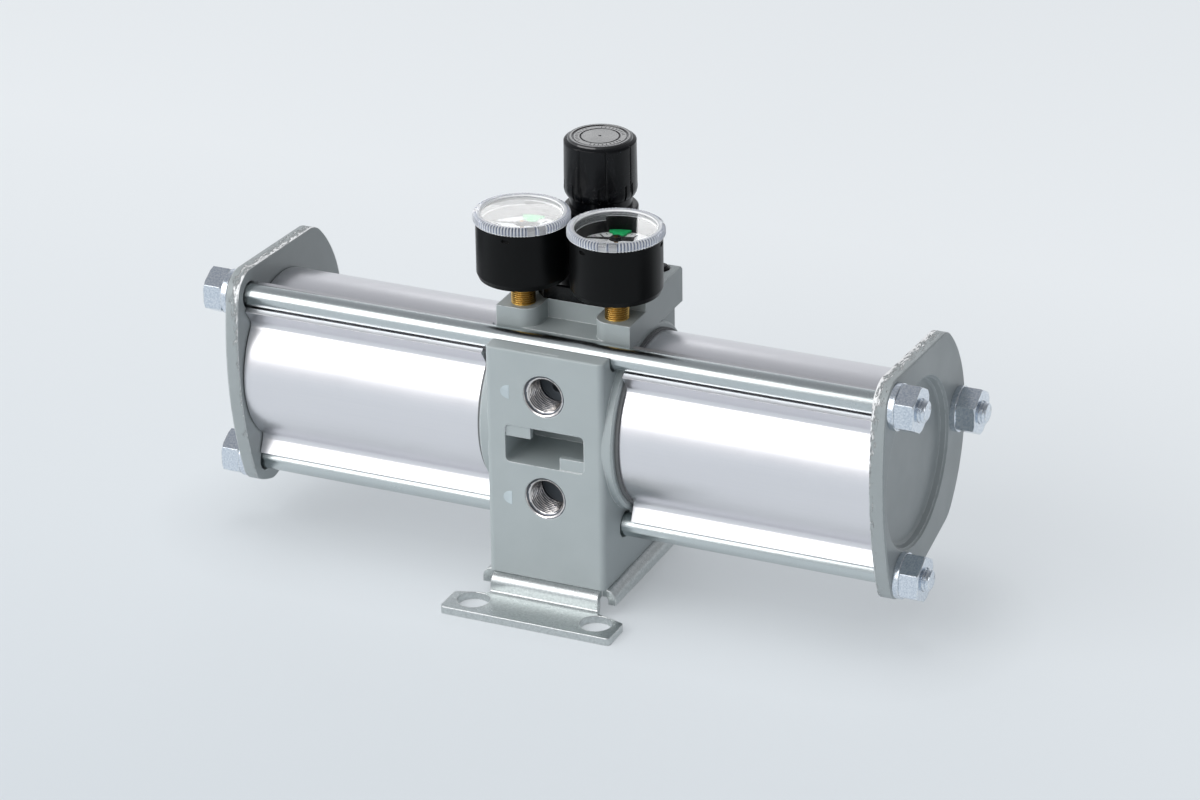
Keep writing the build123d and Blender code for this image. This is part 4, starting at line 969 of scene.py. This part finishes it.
def clear_cap(side):
    piece = turned(f"gauge_{side}_knurled_cap", cap_profile(), (GAUGE_X[side], GAUGE_Y, 0), "Z",
                   KNURLS * 8, lambda r, h, a: knurl(side, r, a),
                   [WINDOW, RING_CLEAR, RING_VALLEY_SHADE, RING_EDGE_HIGHLIGHT],
                   lambda c: cap_material(side, c), 40)
    piece.data.flip_normals()
    inner_skirt(side).parent = piece
    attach(piece, f"gauge_cover_{side}")
    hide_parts(f"gauge_{side}_clear_cover")
    return piece


for side in GAUGE_X:
    clear_cap(side)
print("clear covers", len(GAUGE_X))

# %% [markdown]
# ## Dial print
# The dials carry ticks and plain numbers. A picture would be the usual way to print them. Here
# each tick is a small flat face and each number comes from Blender's own text, so the print stays
# sharp from any distance.

# %% One number as flat faces
NUMBER_SIZE = 2.6


def number(text, x, y, height, points, faces):
    curve = bpy.data.curves.new("number", "FONT")
    curve.body = text
    curve.size = NUMBER_SIZE
    curve.align_x = "CENTER"
    curve.align_y = "CENTER"
    curve.resolution_u = 3
    carrier = bpy.data.objects.new("number", curve)
    mesh = bpy.data.meshes.new_from_object(carrier)
    start = len(points)
    points += [metres(x + v.co.x, y + v.co.y, height) for v in mesh.vertices]
    faces += [tuple(start + v for v in p.vertices) for p in mesh.polygons]
    bpy.data.objects.remove(carrier)
    bpy.data.curves.remove(curve)
    bpy.data.meshes.remove(mesh)


def flat_bar(ray, inner, outer, half, middle, height, points, faces):
    # a bar along a ray from the middle, from one radius to another
    across = Vector((-ray.y, ray.x)) * half
    start = len(points)
    for spot in (ray * inner - across, ray * outer - across,
                 ray * outer + across, ray * inner + across):
        points.append(metres(middle[0] + spot.x, middle[1] + spot.y, height))
    faces.append(tuple(range(start, start + 4)))


print("print helpers ready")

# %% Print both dials
ZERO = {"left": 190.0, "right": 196.0}
SWEEP = 232.0
TICKS, TICKS_TO_LONG = 24, 3
LAST_NUMBER, NUMBER_RADIUS = 8, 9.2
PRINT_HEIGHT = 145.32


def print_on_dial(side):
    middle = (GAUGE_X[side], GAUGE_Y)
    points, faces = [], []
    for i in range(TICKS + 1):
        angle = radians(ZERO[side] - SWEEP * i / TICKS)
        inner, outer, half = (13.8, 15.6, 0.14) if i % TICKS_TO_LONG else (11.8, 15.6, 0.34)
        ray = Vector((cos(angle), sin(angle)))
        flat_bar(ray, inner, outer, half, middle, PRINT_HEIGHT, points, faces)
    for i in range(0, LAST_NUMBER + 1, 2):
        angle = radians(ZERO[side] - SWEEP * i / LAST_NUMBER)
        x, y = NUMBER_RADIUS * cos(angle) + middle[0], NUMBER_RADIUS * sin(angle) + middle[1]
        number(str(i), x, y, PRINT_HEIGHT, points, faces)
    piece = solid(f"gauge_{side}_dial_print", points, faces, [PRINT_BLACK])
    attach(piece, "booster")
    return piece


for side in GAUGE_X:
    print_on_dial(side)
print("dial prints", len(GAUGE_X))

# %% [markdown]
# ## Knob
# The regulator's knob is a plain cup in the CAD model. Modelling each grip by hand would take long
# and come out uneven. One turned profile is cut by a rule instead: broad panels between narrow
# grooves, short slots at the foot, and rings on the top face.

# %% Profile and grip of the knob
KNOB_PLACE = (0, 20, 0)
KNOB_RADIUS = 14.6
PANELS = 8
PANEL_START = radians(33.5)
SLOTS = (0.09, 0.73)


def knob_profile():
    return finely([
        (12.75, 155.0), (13.6, 155.0), (14.2, 156.1), (14.5, 157.4), (14.6, 158.2), (14.55, 166.0),
        (14.45, 176.4), (14.35, 177.2), (14.0, 177.6), (12.9, 178.0), (12.65, 178.6), (12.3, 178.8),
        (11.15, 178.8), (11.0, 178.4), (10.6, 178.35), (10.4, 178.6), (8.0, 178.6), (7.85, 178.15),
        (7.55, 178.15), (7.4, 178.6), (0.6, 178.65), (0.3, 178.35), (0.01, 178.3),
    ], 0.6)


def knob_cut(radius, height, angle):
    if radius < 13.4 or height < 155.3:
        return radius
    panel = (angle - PANEL_START) * PANELS / (2 * pi)
    turn = panel % 1
    from_groove = min(turn, 1 - turn) * 2 * pi / PANELS * KNOB_RADIUS
    body = min(1.0, max(0.0, (height - 157.6) / 1.2)) * min(1.0, max(0.0, (177.4 - height) / 0.6))
    groove = 0.42 * max(0.0, 1 - max(0.0, from_groove - 0.25) / 0.3) * body
    raised = 0.16 if floor(panel) % 2 else 0.0
    from_slot = min(abs(turn - place) for place in SLOTS) * 2 * pi / PANELS * KNOB_RADIUS
    slot = 0.6 if 155.5 < height < 161.6 and from_slot < 0.4 else 0.0
    return radius - groove - raised * body - slot


print("knob outline", len(knob_profile()), "points")

# %% Knob with its lining and top marks


def knob_marks():
    # plain dashes in the ring of the top face, with three gaps
    points, faces = [], []
    for i in range(36):
        if i % 12 > 2:
            ray = Vector((cos(radians(10 * i)), sin(radians(10 * i))))
            flat_bar(ray, 8.7, 9.8, 0.22, KNOB_PLACE, 178.63, points, faces)
    return solid("knob_marks", points, faces, [KNOB_BLACK])


def detailed_knob():
    piece = turned("knob_grip", knob_profile(), KNOB_PLACE, "Z", 384, knob_cut,
                   [KNOB_BLACK, KNOB_TOP], lambda c: 1 if c.z > 0.17815 else 0, 35)
    inside = [(0.01, 175.7), (12.72, 175.7), (12.75, 155.0)]
    turned("knob_lining", inside, KNOB_PLACE, "Z", 96, None, [KNOB_BLACK]).parent = piece
    knob_marks().parent = piece
    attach(piece, "knob")
    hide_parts("knob")
    return piece


print("knob", detailed_knob().name)

# %% [markdown]
# ## Floor
# The booster stands on pale paper that runs up behind it. More light on the object would turn the
# paper pale, but also wash out the metal. So the paper's own colour makes the background, with
# painted shade towards the front, and a part of it glows for the camera and for mirrors only, which
# leaves the shadow in place. The glow is a painted shadow under the booster and painted light on
# the right.

# %% Shade and glow of the paper
GLOW_SHARE = 0.45
FRONT_SHADE, BACK_SHADE = (0.68, 0.73, 0.77), (0.9, 0.935, 0.96)


def seen_share(tree):
    path = add(tree, "ShaderNodeLightPath").outputs
    seen = calculate(tree, "ADD", path["Is Camera Ray"], path["Is Glossy Ray"], clamp=True)
    seen = calculate(tree, "ADD", seen, path["Is Transmission Ray"], clamp=True)
    return calculate(tree, "MULTIPLY", seen, GLOW_SHARE)


def paper_shade(tree, place):
    # a little darker towards the front, as painted shade
    return mix_colors(tree, spread(tree, place["Y"], -0.35, 0.35), FRONT_SHADE, BACK_SHADE)


def glow_level(tree, place):
    # a painted shadow under the booster, and painted light on the right, where less lamp light
    # falls
    sides = vectors(tree, "ABSOLUTE", place_on(tree))
    beyond = vectors(tree, "MAXIMUM", vectors(tree, "SUBTRACT", sides, (0.12, 0, 0)))
    painted_shadow = spread(tree, vectors(tree, "LENGTH", beyond), 0.0, 0.07, 0.72, 1.0)
    painted_light_right = spread(tree, place["X"], -0.1, 0.6, 1.0, 1.16)
    return calculate(tree, "MULTIPLY", painted_shadow, painted_light_right)


print("floor helpers ready")

# %% Floor
FLOOR_HALF = 9


def floor_material():
    material, tree, shader = new_material(
        "floor", BACK_SHADE, Roughness=0.7, Specular_IOR_Level=0.2)
    place = split(tree, place_on(tree))
    shade = paper_shade(tree, place)
    glow = add(tree, "ShaderNodeEmission")
    both = add(tree, "ShaderNodeMixShader")
    join(tree, shade, shader.inputs["Base Color"])
    join(tree, shade, glow.inputs["Color"])
    join(tree, glow_level(tree, place), glow.inputs["Strength"])
    join(tree, seen_share(tree), both.inputs[0])
    join(tree, shader.outputs["BSDF"], both.inputs[1])
    join(tree, glow.outputs["Emission"], both.inputs[2])
    join(tree, both.outputs["Shader"], tree.nodes["Material Output"].inputs["Surface"])
    return material


def make_floor():
    half = FLOOR_HALF
    mesh = bpy.data.meshes.new("floor")
    mesh.from_pydata([(-half, -half, 0), (half, -half, 0), (half, half, 0), (-half, half, 0)],
                     [], [(0, 1, 2, 3)])
    mesh.materials.append(floor_material())
    piece = bpy.data.objects.new("floor", mesh)
    bpy.context.scene.collection.objects.link(piece)
    return piece


print("stage", make_floor().name)

# %% [markdown]
# ## Light
# The photograph has a large soft lamp in front on the left, a bright wall behind, and little light
# from the right. A ready-made sky picture would add reflections of its own. Here the world is a
# plain grey ramp and four soft lamps do the rest, at a level where colours render as written.

# %% Sky
SKY = ((0.0, (0.80, 0.82, 0.85, 1)), (0.4, (0.66, 0.68, 0.71, 1)),
       (0.7, (0.44, 0.455, 0.48, 1)), (0.95, (0.36, 0.37, 0.39, 1)))


def make_sky():
    # grey overhead, paler towards the horizon and darker on the right
    world = bpy.data.worlds.new("studio")
    world.use_nodes = True
    tree = world.node_tree
    ray = split(tree, add(tree, "ShaderNodeTexCoord").outputs["Generated"])
    ramp = add(tree, "ShaderNodeValToRGB")
    for position, _ in SKY[1:-1]:
        ramp.color_ramp.elements.new(position)
    for element, (position, color) in zip(ramp.color_ramp.elements, SKY):
        element.position = position
        element.color = color
    join(tree, ray["Z"], ramp.inputs["Fac"])
    side = spread(tree, ray["X"], -0.2, 0.9, 1.0, 0.34)
    dim = mix_colors(tree, 1.0, ramp.outputs["Color"], side, "MULTIPLY")
    join(tree, dim, tree.nodes["Background"].inputs["Color"])
    bpy.context.scene.world = world
    return world


print("sky", make_sky().name)

# %% Lamps


def lamp(name, place, aim, width, height, power, color=(1, 1, 1)):
    data = bpy.data.lights.new(name, "AREA")
    data.shape = "RECTANGLE"
    data.size = width
    data.size_y = height
    data.energy = power
    data.color = color
    light = bpy.data.objects.new(name, data)
    light.location = place
    light.rotation_euler = (Vector(aim) - Vector(place)).to_track_quat("-Z", "Y").to_euler()
    bpy.context.scene.collection.objects.link(light)
    return light


BODY_MIDDLE, GAUGE_TOPS = (0, 0, 0.08), (0, 0, 0.16)
lamp("front_softbox", (-0.75, -1.35, 1.03), BODY_MIDDLE, 2.2, 1.28, 20, (1.0, 0.995, 0.985))
# small and bright: the windows and the top of the knob mirror it towards the camera
lamp("back_card", (-0.834, 1.82, 0.99), GAUGE_TOPS, 0.28, 0.17, 0.26)
# these two only light, and no metal mirrors them
lamp("back_fill", (-0.9, 1.9, 1.05), BODY_MIDDLE, 1.7, 0.42, 4.0).visible_glossy = False
lamp("top_softbox", (-0.1, -0.1, 1.7), BODY_MIDDLE, 1.0, 0.9, 6.0).visible_glossy = False
print("lamps", len(bpy.data.lights))
